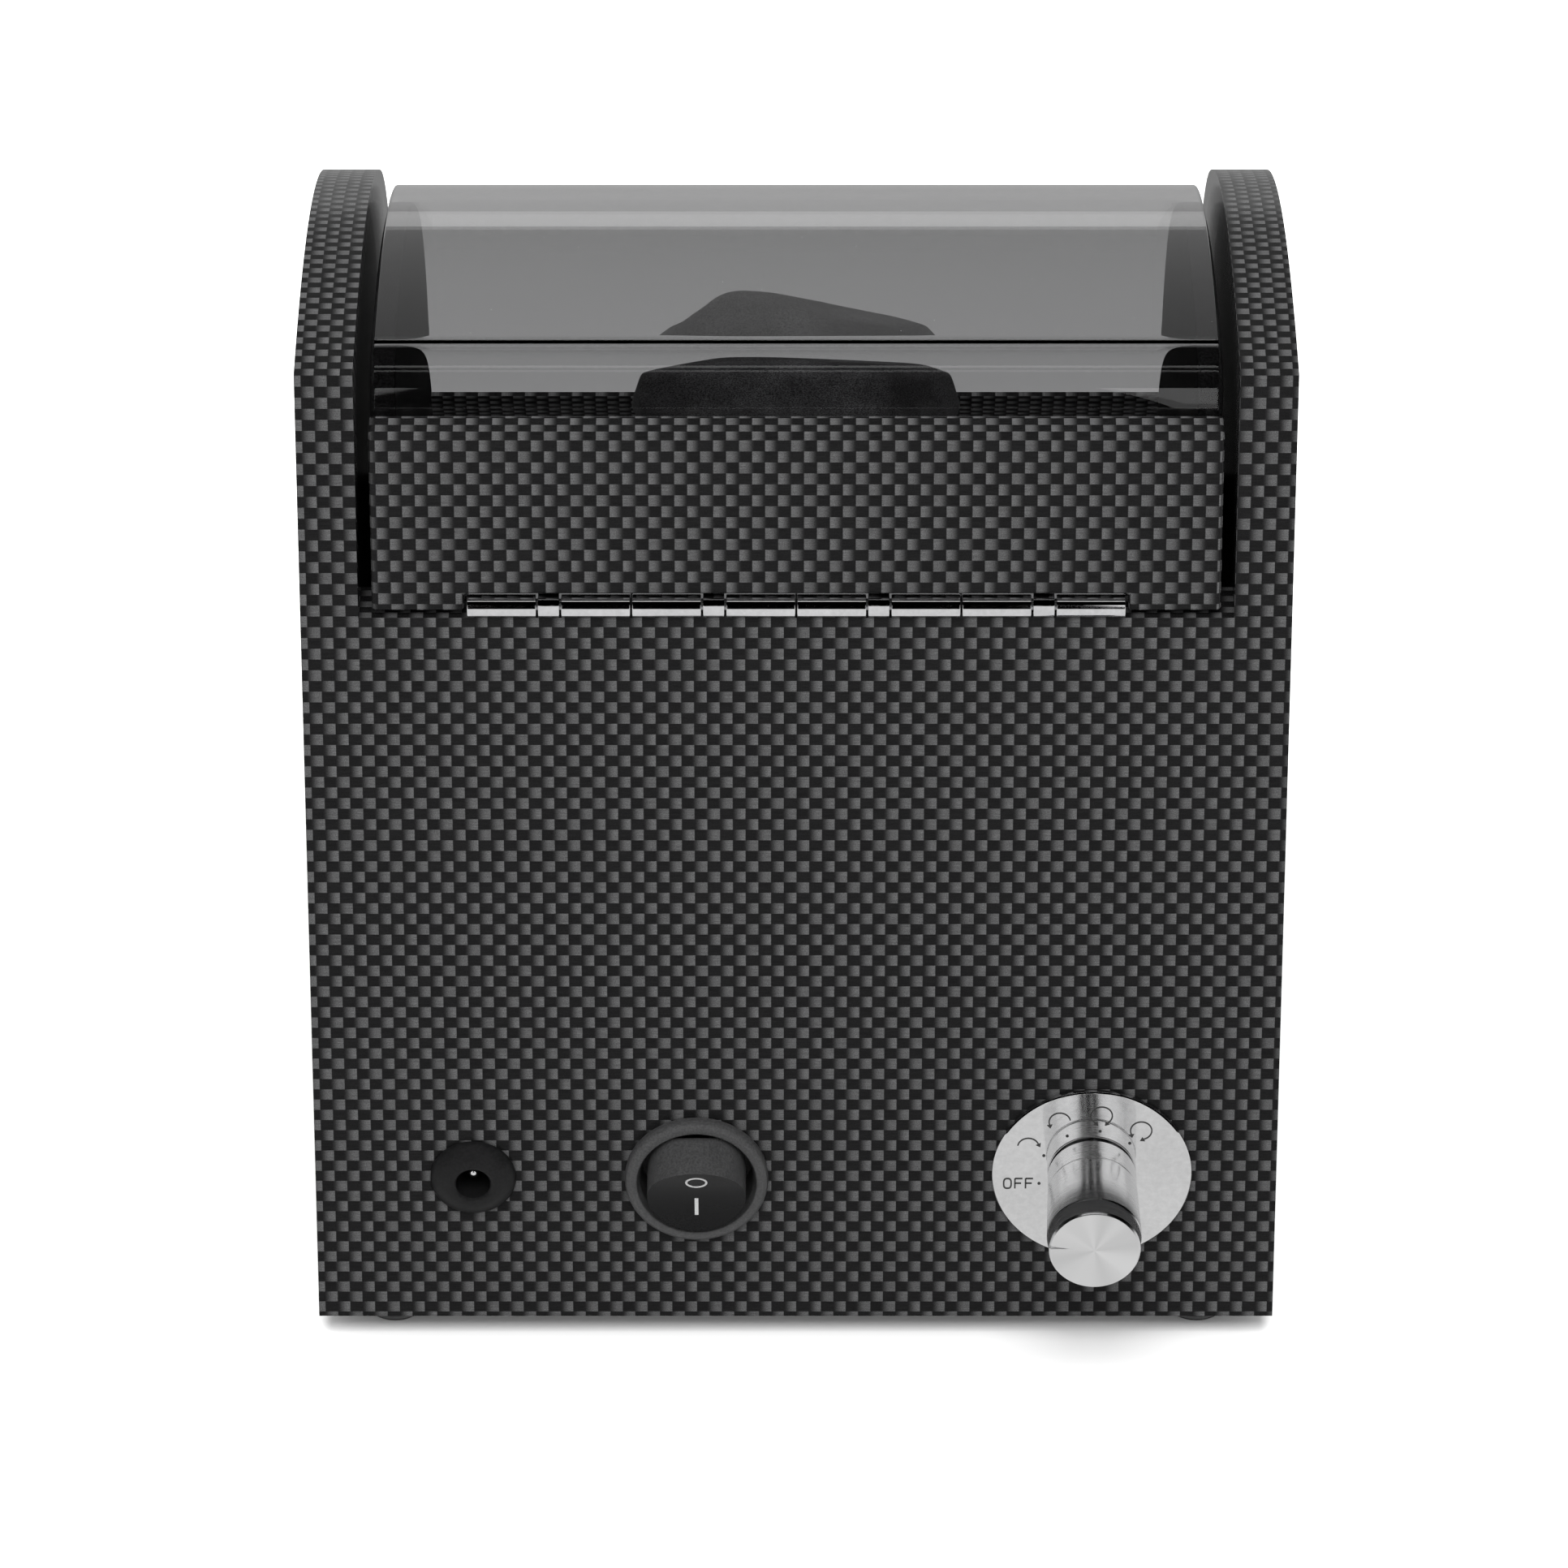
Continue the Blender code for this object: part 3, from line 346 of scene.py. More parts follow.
def floor_material(name, tone):
    """Plain pale paper, very slightly uneven."""
    paint = Paint(name)
    shade = paint.vary(paint.noise(paint.place(), 3.0, 2.0), tone * 0.985, tone)
    paint.set(Base_Color=paint.scaled((1.0, 1.0, 1.0), shade), Roughness=0.9, Specular_IOR_Level=0.1)
    return paint.material


FILM = film_material()
VELVET = velvet_material("black_velvet", (0.0048, 0.0048, 0.0049))
PILLOW_VELVET = velvet_material("pillow_velvet", (0.020, 0.020, 0.0205), 0.02)
ACRYLIC = acrylic_material()
CHROME = metal_material("chrome", (0.86, 0.86, 0.87), 0.05)
ALUMINIUM = metal_material("polished_aluminium", (0.80, 0.80, 0.805), 0.24, (0.15, 0.15, 3.0))
PLATE = metal_material("plate_aluminium", (0.80, 0.80, 0.802), 0.05)
SPUN = spun_material()
STEEL = metal_material("plated_steel", (0.45, 0.45, 0.46), 0.32)
BRASS = metal_material("brass", (0.62, 0.47, 0.22), 0.28)
RUBBER = plastic_material("black_rubber", (0.012, 0.012, 0.012), 0.55, 1500.0, 0.00004, 0.3)
MATT_PLASTIC = plastic_material("black_plastic", (0.006, 0.006, 0.0062), 0.42, 2600.0, 0.00002, 0.15)
GLOSS_PLASTIC = plastic_material("gloss_plastic", (0.004, 0.004, 0.0042), 0.25, 3200.0, 0.00001, 0.10)
BEZEL_PLASTIC = plastic_material("bezel_plastic", (0.034, 0.034, 0.0345), 0.45, 3000.0, 0.00003, 0.25)
NYLON = plastic_material("nylon", (0.72, 0.71, 0.66), 0.5)
INSULATION = plastic_material("lead_insulation", (0.02, 0.02, 0.02), 0.45)
BASE_FILM = plastic_material("base_film", (0.015, 0.015, 0.015), 0.5)
BOARD_GREEN = board_material()
WHITE_INK = print_material("white_ink", (0.34, 0.34, 0.34))
BLACK_INK = print_material("black_ink", (0.02, 0.02, 0.02))


# ---- Shape helpers ----


def to_world(x, depth, height):
    """The point at a place across the box, a depth in from its rear face and a height up its side."""
    return Vector((x, REAR_Y - depth, FOOT_HEIGHT + height))


def add_object(name, shape, materials, place=None):
    """Turns a bmesh into an object, in the world's frame or at place."""
    bmesh.ops.recalc_face_normals(shape, faces=shape.faces)
    mesh = bpy.data.meshes.new(name)
    shape.to_mesh(mesh)
    shape.free()
    for material in materials:
        mesh.materials.append(material)
    item = bpy.data.objects.new(name, mesh)
    bpy.context.collection.objects.link(item)
    if place is not None:
        item.matrix_world = place
    return item


def smooth(item, angle=35):
    """Shades curved runs smooth and keeps the flat faces flat."""
    item.data.shade_smooth()
    item.data.set_sharp_from_angle(angle=math.radians(angle))
    weigh = item.modifiers.new("weigh", "WEIGHTED_NORMAL")
    weigh.weight = 100
    weigh.keep_sharp = True
    freeze(item)


def freeze(item):
    """Applies the object's modifiers to its mesh."""
    graph = bpy.context.evaluated_depsgraph_get()
    graph.update()
    mesh = bpy.data.meshes.new_from_object(item.evaluated_get(graph), depsgraph=graph)
    item.modifiers.clear()
    old = item.data
    item.data = mesh
    bpy.data.meshes.remove(old)


def soften(item, width, segments=3, angle=40):
    """Rounds the edges that turn by more than angle degrees."""
    modifier = item.modifiers.new("soften", "BEVEL")
    modifier.width = width
    modifier.segments = segments
    modifier.limit_method = "ANGLE"
    modifier.angle_limit = math.radians(angle)
    freeze(item)


def combine(item, tool, operation):
    """Joins, cuts or intersects item with tool, which is used up."""
    modifier = item.modifiers.new("combine", "BOOLEAN")
    modifier.operation = operation
    modifier.solver = "EXACT"
    modifier.object = tool
    freeze(item)
    bpy.data.objects.remove(tool, do_unlink=True)


def extrude(shape, points, lift):
    """Adds to the bmesh the face through points, extruded by the vector lift."""
    face = shape.faces.new([shape.verts.new(point) for point in points])
    grown = bmesh.ops.extrude_face_region(shape, geom=[face])["geom"]
    moved = [item for item in grown if isinstance(item, bmesh.types.BMVert)]
    bmesh.ops.translate(shape, verts=moved, vec=lift)
    return shape


def prism(points, lift):
    return extrude(bmesh.new(), points, lift)


def across(name, outline, x_low, x_high, *materials):
    """A board or rail: a (depth, height) outline run across the box from x_low to x_high."""
    points = [to_world(x_low, depth, height) for depth, height in outline]
    return add_object(name, prism(points, Vector((x_high - x_low, 0, 0))), materials)


def block(name, low, high, material, place=None):
    """A square-edged block between two opposite corners."""
    corners = [(low[0], low[1]), (high[0], low[1]), (high[0], high[1]), (low[0], high[1])]
    shape = prism([(x, y, low[2]) for x, y in corners], Vector((0, 0, high[2] - low[2])))
    return add_object(name, shape, (material,), place)


def turned(name, profile, material, place=None, steps=96):
    """A piece turned about Z from a closed (radius, height) profile, which may touch the axis."""
    shape = bmesh.new()
    points = [shape.verts.new((radius, 0, height)) for radius, height in profile]
    edges = []
    for index, start in enumerate(points):
        end = points[(index + 1) % len(points)]
        if start.co.x > 1e-9 or end.co.x > 1e-9:
            edges.append(shape.edges.new((start, end)))
    bmesh.ops.spin(shape, geom=points + edges, axis=(0, 0, 1), cent=(0, 0, 0), angle=TURN, steps=steps)
    bmesh.ops.remove_doubles(shape, verts=shape.verts, dist=1e-7)
    item = add_object(name, shape, (material,), place)
    smooth(item)
    return item


def drill(item, radius, low, high, place, steps=32):
    """Cuts a round hole from low to high along the Z axis of place."""
    outline = [(0, low), (radius, low), (radius, high), (0, high)]
    combine(item, turned("drill", outline, item.data.materials[0], place, steps), "DIFFERENCE")


def fillet(outline, radii, steps=5):
    """Rounds the corners of a closed outline that radii names, as {corner index: radius}."""
    points = [Vector(point) for point in outline]
    rounded = []
    for index, corner in enumerate(points):
        radius = radii.get(index, 0)
        back = points[index - 1] - corner
        on = points[(index + 1) % len(points)] - corner
        half = back.angle(on, 0) / 2 if back.length and on.length else 0
        if not radius or half < 0.05 or half > math.radians(89):
            rounded.append(tuple(corner))
            continue
        reach = min(radius / math.tan(half), back.length * 0.49, on.length * 0.49)
        radius = reach * math.tan(half)
        centre = corner + (back.normalized() + on.normalized()).normalized() * (radius / math.sin(half))
        start = corner + back.normalized() * reach - centre
        end = corner + on.normalized() * reach - centre
        sweep = start.angle(end)
        for step in range(steps + 1):
            share = step / steps
            spot = start * math.sin((1 - share) * sweep) + end * math.sin(share * sweep)
            rounded.append(tuple(centre + spot / math.sin(sweep)))
    return rounded


def arc(centre, radius, start, end, steps=28):
    """Points on an arc, angles in degrees anticlockwise."""
    points = []
    for step in range(steps + 1):
        angle = math.radians(start + (end - start) * step / steps)
        points.append((centre[0] + radius * math.cos(angle), centre[1] + radius * math.sin(angle)))
    return points


def facing_rear(x, height):
    """Placing for a control: its own +Z points out of the rear face, its +X along the box's +X."""
    return Matrix.Translation(to_world(x, 0, height)) @ Matrix.Rotation(math.radians(-90), 4, "X")


def finish_piece(item, body, slot, *nodes):
    """Sets what the piece rides and hides the CAD nodes that it stands for; slot is not used."""
    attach(item, body)
    if nodes:
        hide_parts(*nodes)


# ---- Side outlines ----


def roof_point(angle, inset=0.0):
    """The roof line's point with this slope, moved inwards by inset."""
    depth = ROOF_RADIUS * math.sin(min(angle, ROOF_TURN))
    height = CABINET_HEIGHT - ROOF_RADIUS * (1 - math.cos(min(angle, ROOF_TURN)))
    if angle > ROOF_TURN:
        depth += FRONT_RADIUS * (math.sin(angle) - math.sin(ROOF_TURN))
        height += FRONT_RADIUS * (math.cos(angle) - math.cos(ROOF_TURN))
    return depth - inset * math.sin(angle), height - inset * math.cos(angle)


def roof_curve(start, end, inset=0.0, step=math.radians(1.2)):
    pieces = max(1, round(abs(end - start) / step))
    return [roof_point(start + (end - start) * part / pieces, inset) for part in range(pieces + 1)]


def roof_angle_at(height, inset=0.0):
    """The slope of the roof line's front arc at a height."""
    foot = roof_point(math.radians(90))[1]
    return math.acos((height - foot) / (FRONT_RADIUS - inset))


def bend_curve(inset, pieces=28):
    """The window's tight rear bend, from its upright flange to the roof line, and its slope there."""
    centre_depth = WINDOW_SETBACK + WINDOW_BEND
    reach = ROOF_RADIUS - WINDOW_INSET - WINDOW_BEND
    centre_height = CABINET_HEIGHT - ROOF_RADIUS + math.sqrt(reach**2 - centre_depth**2)
    end_slope = math.asin(centre_depth / reach)
    radius = WINDOW_BEND - inset
    points = []
    for step in range(pieces + 1):
        slope = math.radians(-90) + (end_slope + math.radians(90)) * step / pieces
        points.append((centre_depth + radius * math.sin(slope), centre_height + radius * math.cos(slope)))
    return points, end_slope


def under_seam(depth, drop):
    """Height of a line parallel to the tilted seam under the lid, and a distance drop below it."""
    return SEAM_REAR_HEIGHT - depth * math.tan(TILT) - drop / math.cos(TILT)


def turntable_place():
    """The turntable's axis, with its origin on the deck."""
    centre = to_world(0, TURNTABLE_DEPTH, under_seam(TURNTABLE_DEPTH, DECK_DROP))
    return Matrix.Translation(centre) @ Matrix.Rotation(TILT, 4, "X")


# ---- Film wrap ----


def roof_run(depth, height):
    """Length along the roof line from its rear edge to the point nearest (depth, height)."""
    angle = math.atan2(depth, height - (CABINET_HEIGHT - ROOF_RADIUS))
    if angle <= ROOF_TURN:
        return ROOF_RADIUS * angle
    run = ROOF_RADIUS * ROOF_TURN
    centre_depth = (ROOF_RADIUS - FRONT_RADIUS) * math.sin(ROOF_TURN)
    centre_height = CABINET_HEIGHT - ROOF_RADIUS + (ROOF_RADIUS - FRONT_RADIUS) * math.cos(ROOF_TURN)
    if height < centre_height:
        return run + FRONT_RADIUS * (math.radians(90) - ROOF_TURN) + centre_height - height
    return run + FRONT_RADIUS * (math.atan2(depth - centre_depth, height - centre_height) - ROOF_TURN)


def lay_film(item, mirrored, start):
    """Gives each face corner its place on the film, in metres across and up from the first yarn."""
    mesh = item.data
    chart = mesh.uv_layers.new(name="film")
    side = 1 if mirrored else -1
    for face in mesh.polygons:
        lean = face.normal
        for loop in face.loop_indices:
            x, y, z = mesh.vertices[mesh.loops[loop].vertex_index].co
            depth = REAR_Y - y
            u = x
            if abs(lean.x) > max(abs(lean.y), abs(lean.z)):
                u = math.copysign(WIDTH / 2 + depth, x)
                v = z
            elif lean.y > abs(lean.z):
                v = z
            elif lean.z < -abs(lean.y):
                v = -y
            elif depth < RAIL and abs(x) < LID_HALF_WIDTH + GAP:
                v = z + depth
            else:
                v = FOOT_HEIGHT + CABINET_HEIGHT + roof_run(depth, z - FOOT_HEIGHT)
            chart.data[loop].uv = (side * u - start[0], v - start[1])


def dissolve_flat(item):
    """Joins flat neighbouring faces that the Booleans left apart."""
    shape = bmesh.new()
    shape.from_mesh(item.data)
    bmesh.ops.remove_doubles(shape, verts=shape.verts, dist=1e-6)
    bmesh.ops.dissolve_limit(shape, angle_limit=math.radians(0.3), verts=shape.verts, edges=shape.edges)
    shape.to_mesh(item.data)
    shape.free()


def build_cabinet():
    """Both sides, the rear and the front under one unbroken wrap of film."""
    side = [(0, 0), (0, CABINET_HEIGHT)] + roof_curve(0, math.radians(90))[1:] + [(DEPTH, 0)]
    inner = WIDTH / 2 - BOARD
    wrap = across("cabinet_wrap", side, inner, WIDTH / 2, FILM, VELVET)
    overlap = inner + BOARD / 2
    combine(wrap, across("other_side", side, -WIDTH / 2, -inner, FILM), "UNION")
    rear = [(0, 0), (0, REAR_PANEL_TOP), (BOARD, REAR_PANEL_TOP), (BOARD, 0)]
    combine(wrap, across("rear", rear, -overlap, overlap, FILM), "UNION")
    front = [(DEPTH - BOARD, 0), (DEPTH - BOARD, FRONT_PANEL_TOP), (DEPTH, FRONT_PANEL_TOP), (DEPTH, 0)]
    combine(wrap, across("front", front, -overlap, overlap, FILM), "UNION")
    dissolve_flat(wrap)
    soften(wrap, CABINET_EDGE, 4)
    for x, height, radius in (
        (JACK_X, CONTROL_HEIGHT, JACK_HOLE),
        (SWITCH_X, CONTROL_HEIGHT, SWITCH_HOLE),
        (SELECTOR_X, SELECTOR_HEIGHT, SELECTOR_HOLE),
    ):
        drill(wrap, radius, -0.02, 0.01, facing_rear(x, height), 64)
    drill_pockets(wrap, FRONT_PANEL_TOP - POCKET_DEPTH, 0.01)
    smooth(wrap, 50)
    lay_film(wrap, False, CABINET_FILM_START)
    line_inside(wrap)
    panels = ("left_side_panel", "right_side_panel", "rear_panel", "front_panel")
    finish_piece(wrap, "cabinet", "carbon_film", *panels)


def drill_pockets(item, height, length):
    for x in (-POCKET_X, POCKET_X):
        drill(item, POCKET_RADIUS, 0, length, Matrix.Translation(to_world(x, DEPTH - BOARD / 2, height)))


def line_inside(wrap):
    """The inner faces of the rear and front boards are flocked like the rest of the inside."""
    for face in wrap.data.polygons:
        depth = REAR_Y - face.center.y
        between = abs(face.center.x) < WIDTH / 2 - BOARD
        inward = abs(face.normal.y) > 0.9 and BOARD * 0.9 < depth < DEPTH - BOARD * 0.9
        face.material_index = 1 if between and inward else 0


def build_lid_rails():
    ledge = WINDOW_FLANGE_BOTTOM - GAP
    rear_outline = [
        (0, REAR_RAIL_BOTTOM),
        (0, REAR_RAIL_TOP),
        (WINDOW_SETBACK - GAP, REAR_RAIL_TOP),
        (WINDOW_SETBACK - GAP, ledge),
        (RAIL, ledge),
        (RAIL, REAR_RAIL_BOTTOM),
    ]
    rear_outline = fillet(rear_outline, {0: 0.0006, 1: 0.0009, 2: 0.0016})
    rail = across("lid_rear_wrap", rear_outline, -LID_HALF_WIDTH, LID_HALF_WIDTH, FILM)
    notch = block(
        "notch",
        to_world(-HINGE_NOTCH_HALF_WIDTH, BOARD * 2, REAR_RAIL_BOTTOM - 0.005),
        to_world(HINGE_NOTCH_HALF_WIDTH, -BOARD, HINGE_NOTCH_TOP),
        FILM,
    )
    combine(rail, notch, "DIFFERENCE")
    soften(rail, RAIL_EDGE, 3, 60)
    smooth(rail, 50)
    lay_film(rail, True, REAR_RAIL_FILM_START)
    finish_piece(rail, "lid", "carbon_film", "lid_rear_rail")

    front_outline = (
        roof_curve(roof_angle_at(FRONT_RAIL_BOTTOM), FRONT_RAIL_TOP_ANGLE)
        + roof_curve(FRONT_RAIL_TOP_ANGLE, FRONT_LIP_ANGLE, WINDOW_INNER + GAP)
        + roof_curve(FRONT_LIP_ANGLE, roof_angle_at(FRONT_RAIL_BOTTOM, BOARD), BOARD)
    )
    rail = across("lid_front_wrap", front_outline, -LID_HALF_WIDTH, LID_HALF_WIDTH, FILM)
    soften(rail, RAIL_EDGE, 3, 60)
    drill_pockets(rail, FRONT_RAIL_BOTTOM - 0.008, 0.008 + POCKET_DEPTH)
    smooth(rail, 50)
    lay_film(rail, True, FRONT_RAIL_FILM_START)
    finish_piece(rail, "lid", "carbon_film", "lid_front_rail")


def build_window():
    end_angle = FRONT_RAIL_TOP_ANGLE - GAP / FRONT_RADIUS
    outer_bend, outer_slope = bend_curve(0)
    inner_bend, _ = bend_curve(WINDOW_THICKNESS)
    outline = (
        [(WINDOW_SETBACK, WINDOW_FLANGE_BOTTOM)]
        + outer_bend
        + roof_curve(outer_slope, end_angle, WINDOW_INSET)[1:]
        + roof_curve(end_angle, outer_slope, WINDOW_INNER)[:-1]
        + inner_bend[::-1]
        + [(WINDOW_SETBACK + WINDOW_THICKNESS, WINDOW_FLANGE_BOTTOM)]
    )
    window = across("curved_window", outline, -WINDOW_HALF_WIDTH, WINDOW_HALF_WIDTH, ACRYLIC)
    soften(window, 0.00025, 2, 60)
    smooth(window, 30)
    window.visible_shadow = False
    finish_piece(window, "lid", "acrylic", "window")


def build_cheeks():
    bend, slope = bend_curve(WINDOW_THICKNESS + GAP)
    near = bend[0][0]
    stop = FRONT_LIP_ANGLE - GAP / FRONT_RADIUS
    far_inset = BOARD + GAP
    foot_angle = roof_angle_at(under_seam(DEPTH - far_inset, -SEAM_CLEARANCE), far_inset)
    outline = (
        [(near, under_seam(near, -SEAM_CLEARANCE))]
        + bend
        + roof_curve(slope, stop, WINDOW_INNER + GAP)[1:]
        + roof_curve(stop, foot_angle, far_inset)
    )
    inner = LID_HALF_WIDTH - CHEEK
    for name, low, high in (("left", -LID_HALF_WIDTH, -inner), ("right", inner, LID_HALF_WIDTH)):
        cheek = across(f"{name}_velvet_cheek", outline, low, high, VELVET)
        soften(cheek, 0.0005, 2, 60)
        smooth(cheek, 40)
        finish_piece(cheek, "lid", "velvet_board", f"lid_{name}_cheek")


# ---- Hinges ----


def rolled_leaf(upper):
    """A hinge leaf rolled round its pin: the lower leaf, or its mirror for the upper one."""
    overlap = math.degrees(math.asin((BARREL_RADIUS - LEAF_THICKNESS) / BARREL_RADIUS))
    outline = [(LEAF_LENGTH, -BARREL_RADIUS)]
    outline += arc((0, 0), BARREL_RADIUS, 270, -overlap, 40)
    outline.append((LEAF_LENGTH, LEAF_THICKNESS - BARREL_RADIUS))
    side = -1 if upper else 1
    return [(HINGE_DEPTH + depth, HINGE_HEIGHT + side * height) for depth, height in outline]


def build_hinges():
    along_x = Matrix.Rotation(math.radians(90), 4, "Y")
    barrel_axis = Matrix.Translation(to_world(0, HINGE_DEPTH, HINGE_HEIGHT)) @ along_x
    length = HINGE_LENGTH - GAP
    knuckle = MIDDLE_KNUCKLE / 2
    room = BARREL_RADIUS + GAP
    skin = HINGE_DEPTH - BARREL_RADIUS
    strap = [
        (skin - 0.0001, HINGE_HEIGHT - 0.0002),
        (skin - 0.0001, HINGE_HEIGHT + 0.0011),
        (skin + 0.0006, HINGE_HEIGHT + 0.0019),
        (HINGE_DEPTH + 0.0006, HINGE_HEIGHT + 0.0019),
        (HINGE_DEPTH + 0.0006, HINGE_HEIGHT + 0.0015),
        (skin + 0.0007, HINGE_HEIGHT + 0.0008),
    ]
    for number in range(1, HINGE_COUNT + 1):
        middle = (number - (HINGE_COUNT + 1) / 2) * HINGE_LENGTH
        low = middle - length / 2
        high = middle + length / 2
        for body, gaps in (
            ("cabinet", ((middle - knuckle - GAP, middle + knuckle + GAP),)),
            ("lid", ((low - 0.001, middle - knuckle), (middle + knuckle, high + 0.001))),
        ):
            leaf = across(f"hinge_{number}_{body}_side", rolled_leaf(body == "lid"), low, high, CHROME)
            for gap_low, gap_high in gaps:
                cutter_low = to_world(gap_low, HINGE_DEPTH + room, HINGE_HEIGHT - room)
                cutter_high = to_world(gap_high, HINGE_DEPTH - room, HINGE_HEIGHT + room)
                combine(leaf, block("gap", cutter_low, cutter_high, CHROME), "DIFFERENCE")
            soften(leaf, 0.00022, 3, 60)
            drill(leaf, BARREL_BORE, low - 0.001, high + 0.001, barrel_axis)
            smooth(leaf, 40)
            finish_piece(leaf, body, "chrome", f"hinge_{number}_{body}_leaf")
        clasp = across(f"hinge_{number}_clasp", strap, middle - knuckle, middle + knuckle, CHROME)
        soften(clasp, 0.0001, 2, 40)
        smooth(clasp, 40)
        finish_piece(clasp, "lid", "chrome")
        outline = [(0, low + GAP), (PIN_RADIUS, low + GAP), (PIN_RADIUS, high - GAP), (0, high - GAP)]
        outline = fillet(outline, {1: 0.0003, 2: 0.0003})
        pin = turned(f"hinge_{number}_rod", outline, STEEL, barrel_axis, 32)
        finish_piece(pin, "cabinet", "steel", f"hinge_{number}_pin")


# ---- Rear controls ----


def stroke(shape, path, width, low, high, closed=False):
    """Adds a flat stroke along a path to the bmesh, raised from height low to high."""
    points = [Vector(point) for point in path]
    rings = []
    for index, point in enumerate(points):
        before = points[index - 1] if closed or index else point
        after = points[(index + 1) % len(points)] if closed or index < len(points) - 1 else point
        along = (after - before).normalized()
        aside = Vector((-along.y, along.x)) * width / 2
        corners = ((point + aside, low), (point - aside, low), (point - aside, high), (point + aside, high))
        rings.append([shape.verts.new((spot.x, spot.y, height)) for spot, height in corners])
    joints = list(zip(rings, rings[1:])) + ([(rings[-1], rings[0])] if closed else [])
    for start, end in joints:
        for side in range(4):
            after = (side + 1) % 4
            shape.faces.new((start[side], start[after], end[after], end[side]))
    if not closed:
        shape.faces.new(rings[0])
        shape.faces.new(rings[-1])


def wedge(shape, points, low, high):
    """Adds a small flat polygon of print to the bmesh."""
    extrude(shape, [(x, y, low) for x, y in points], Vector((0, 0, high - low)))


def build_jack():
    place = facing_rear(JACK_X, CONTROL_HEIGHT)
    rim_radius = 0.00685
    mouth_radius = 0.0033
    rim = 0.0007
    top = 0.0029
    dome = []
    for step in range(13):
        share = step / 12
        radius = rim_radius + (mouth_radius - rim_radius) * share
        dome.append((radius, rim + (top - rim) * math.sin(share * math.pi / 2) ** 0.8))
    profile = (
        [(0.0055, GAP), (rim_radius, GAP)]
        + dome
        + [(0.0030, 0.00275), (0.00275, 0.0024), (0.00275, -0.0095), (0.0013, -0.0095), (0.0013, -0.0190)]
        + [(0.0045, -0.0190), (0.0045, -0.0155), (0.0055, -0.0155)]
    )
    jack = turned("power_jack", profile, MATT_PLASTIC, place)
    finish_piece(jack, "cabinet", "black_plastic", "dc_jack_body")
    profile = [(0, -0.0002), (0.0004, -0.00022), (0.0007, -0.0004), (0.0009, -0.0008), (0.00095, -0.0012)]
    profile += [(0.00095, -0.0210), (0, -0.0210)]
    pin = turned("power_jack_pin", profile, CHROME, place, 48)
    finish_piece(pin, "cabinet", "chrome", "dc_jack_pin")


def build_switch():
    place = facing_rear(SWITCH_X, CONTROL_HEIGHT)
    profile = [
        (0, -0.0060),
        (0.0091, -0.0060),
        (0.0091, 0.0008),
        (0.0096, 0.0024),
        (0.0107, 0.0024),
        (0.0113, 0.0019),
        (0.0115, 0.0012),
        (0.0115, GAP),
        (0.0098, GAP),
        (0.0098, -0.0210),
        (0, -0.0210),
    ]
    profile = fillet(profile, {2: 0.0004, 3: 0.0003, 4: 0.0006, 5: 0.0006, 6: 0.0005}, 4)
    housing = turned("switch_bezel", profile, BEZEL_PLASTIC, place)
    for x in (-0.0045, 0.0045):
        blade = block("blade", (x - 0.0003, -0.0024, -0.0290), (x + 0.0003, 0.0024, -0.0200), BRASS, place)
        combine(housing, blade, "UNION")
    finish_piece(housing, "cabinet", "black_plastic", "switch_housing")

    pivot = Matrix.Translation(to_world(SWITCH_X, -ROCKER_PIVOT, CONTROL_HEIGHT))
    lean = Matrix.Rotation(math.radians(-90) - ROCKER_TILT, 4, "X")
    tilted = pivot @ lean @ Matrix.Rotation(math.pi, 4, "Z")
    radius = 0.0079
    corner_out = 0.0032
    dish = 0.0010
    end_radius = math.hypot(radius, corner_out)
    foot_out = -0.0045
    foot_radius = 0.0083
    lower = [(math.sqrt(foot_radius**2 - foot_out**2), foot_out)]
    for step in range(1, 13):
        angle = math.asin(foot_out / foot_radius) * (1 - step / 12)
        reach = foot_radius + (end_radius - foot_radius) * step / 12
        lower.append((reach * math.cos(angle), reach * math.sin(angle)))
    half = lower + [(math.sqrt(end_radius**2 - corner_out**2), corner_out)]
    face = []
    for step in range(1, 24):
        along = radius * (1 - step / 12)
        face.append((along, corner_out - dish * (1 - (along / radius) ** 2)))
    outline = half + face + [(-y, z) for y, z in reversed(half)]
    shape = prism([(-0.01, y, z) for y, z in outline], Vector((0.02, 0, 0)))
    rocker = add_object("rocker", shape, (GLOSS_PLASTIC,), tilted)
    drum = turned("drum", [(0, -0.01), (radius, -0.01), (radius, 0.01), (0, 0.01)], GLOSS_PLASTIC, tilted)
    combine(rocker, drum, "INTERSECT")
    soften(rocker, 0.00035, 3, 50)
    smooth(rocker, 40)
    # The rocker's side walls take the lighter, rougher bezel plastic: the rougher grain is real, the lighter
    # colour is painted light for the light the walls catch
    rocker.data.materials.append(BEZEL_PLASTIC)
    for patch in rocker.data.polygons:
        patch.material_index = 1 if abs(patch.normal.z) < 0.6 else 0
    finish_piece(rocker, "rocker", "gloss_plastic", "switch_rocker")

    marks = bmesh.new()
    low = -0.00005
    high = 0.00010
    turns = [TURN * step / 48 for step in range(48)]
    ring = [(0.0016 * math.cos(turn), 0.0047 + 0.00148 * math.sin(turn)) for turn in turns]
    stroke(marks, ring, 0.00034, low, high, closed=True)
    bar = [(0, -0.0043 + 0.0041 * step / 8) for step in range(9)]
    stroke(marks, bar, 0.0006, low, high)
    for vertex in marks.verts:
        vertex.co.z += corner_out - dish * (1 - (vertex.co.y / radius) ** 2)
    item = add_object("rocker_marks", marks, (WHITE_INK,), tilted)
    finish_piece(item, "rocker", "gloss_plastic")


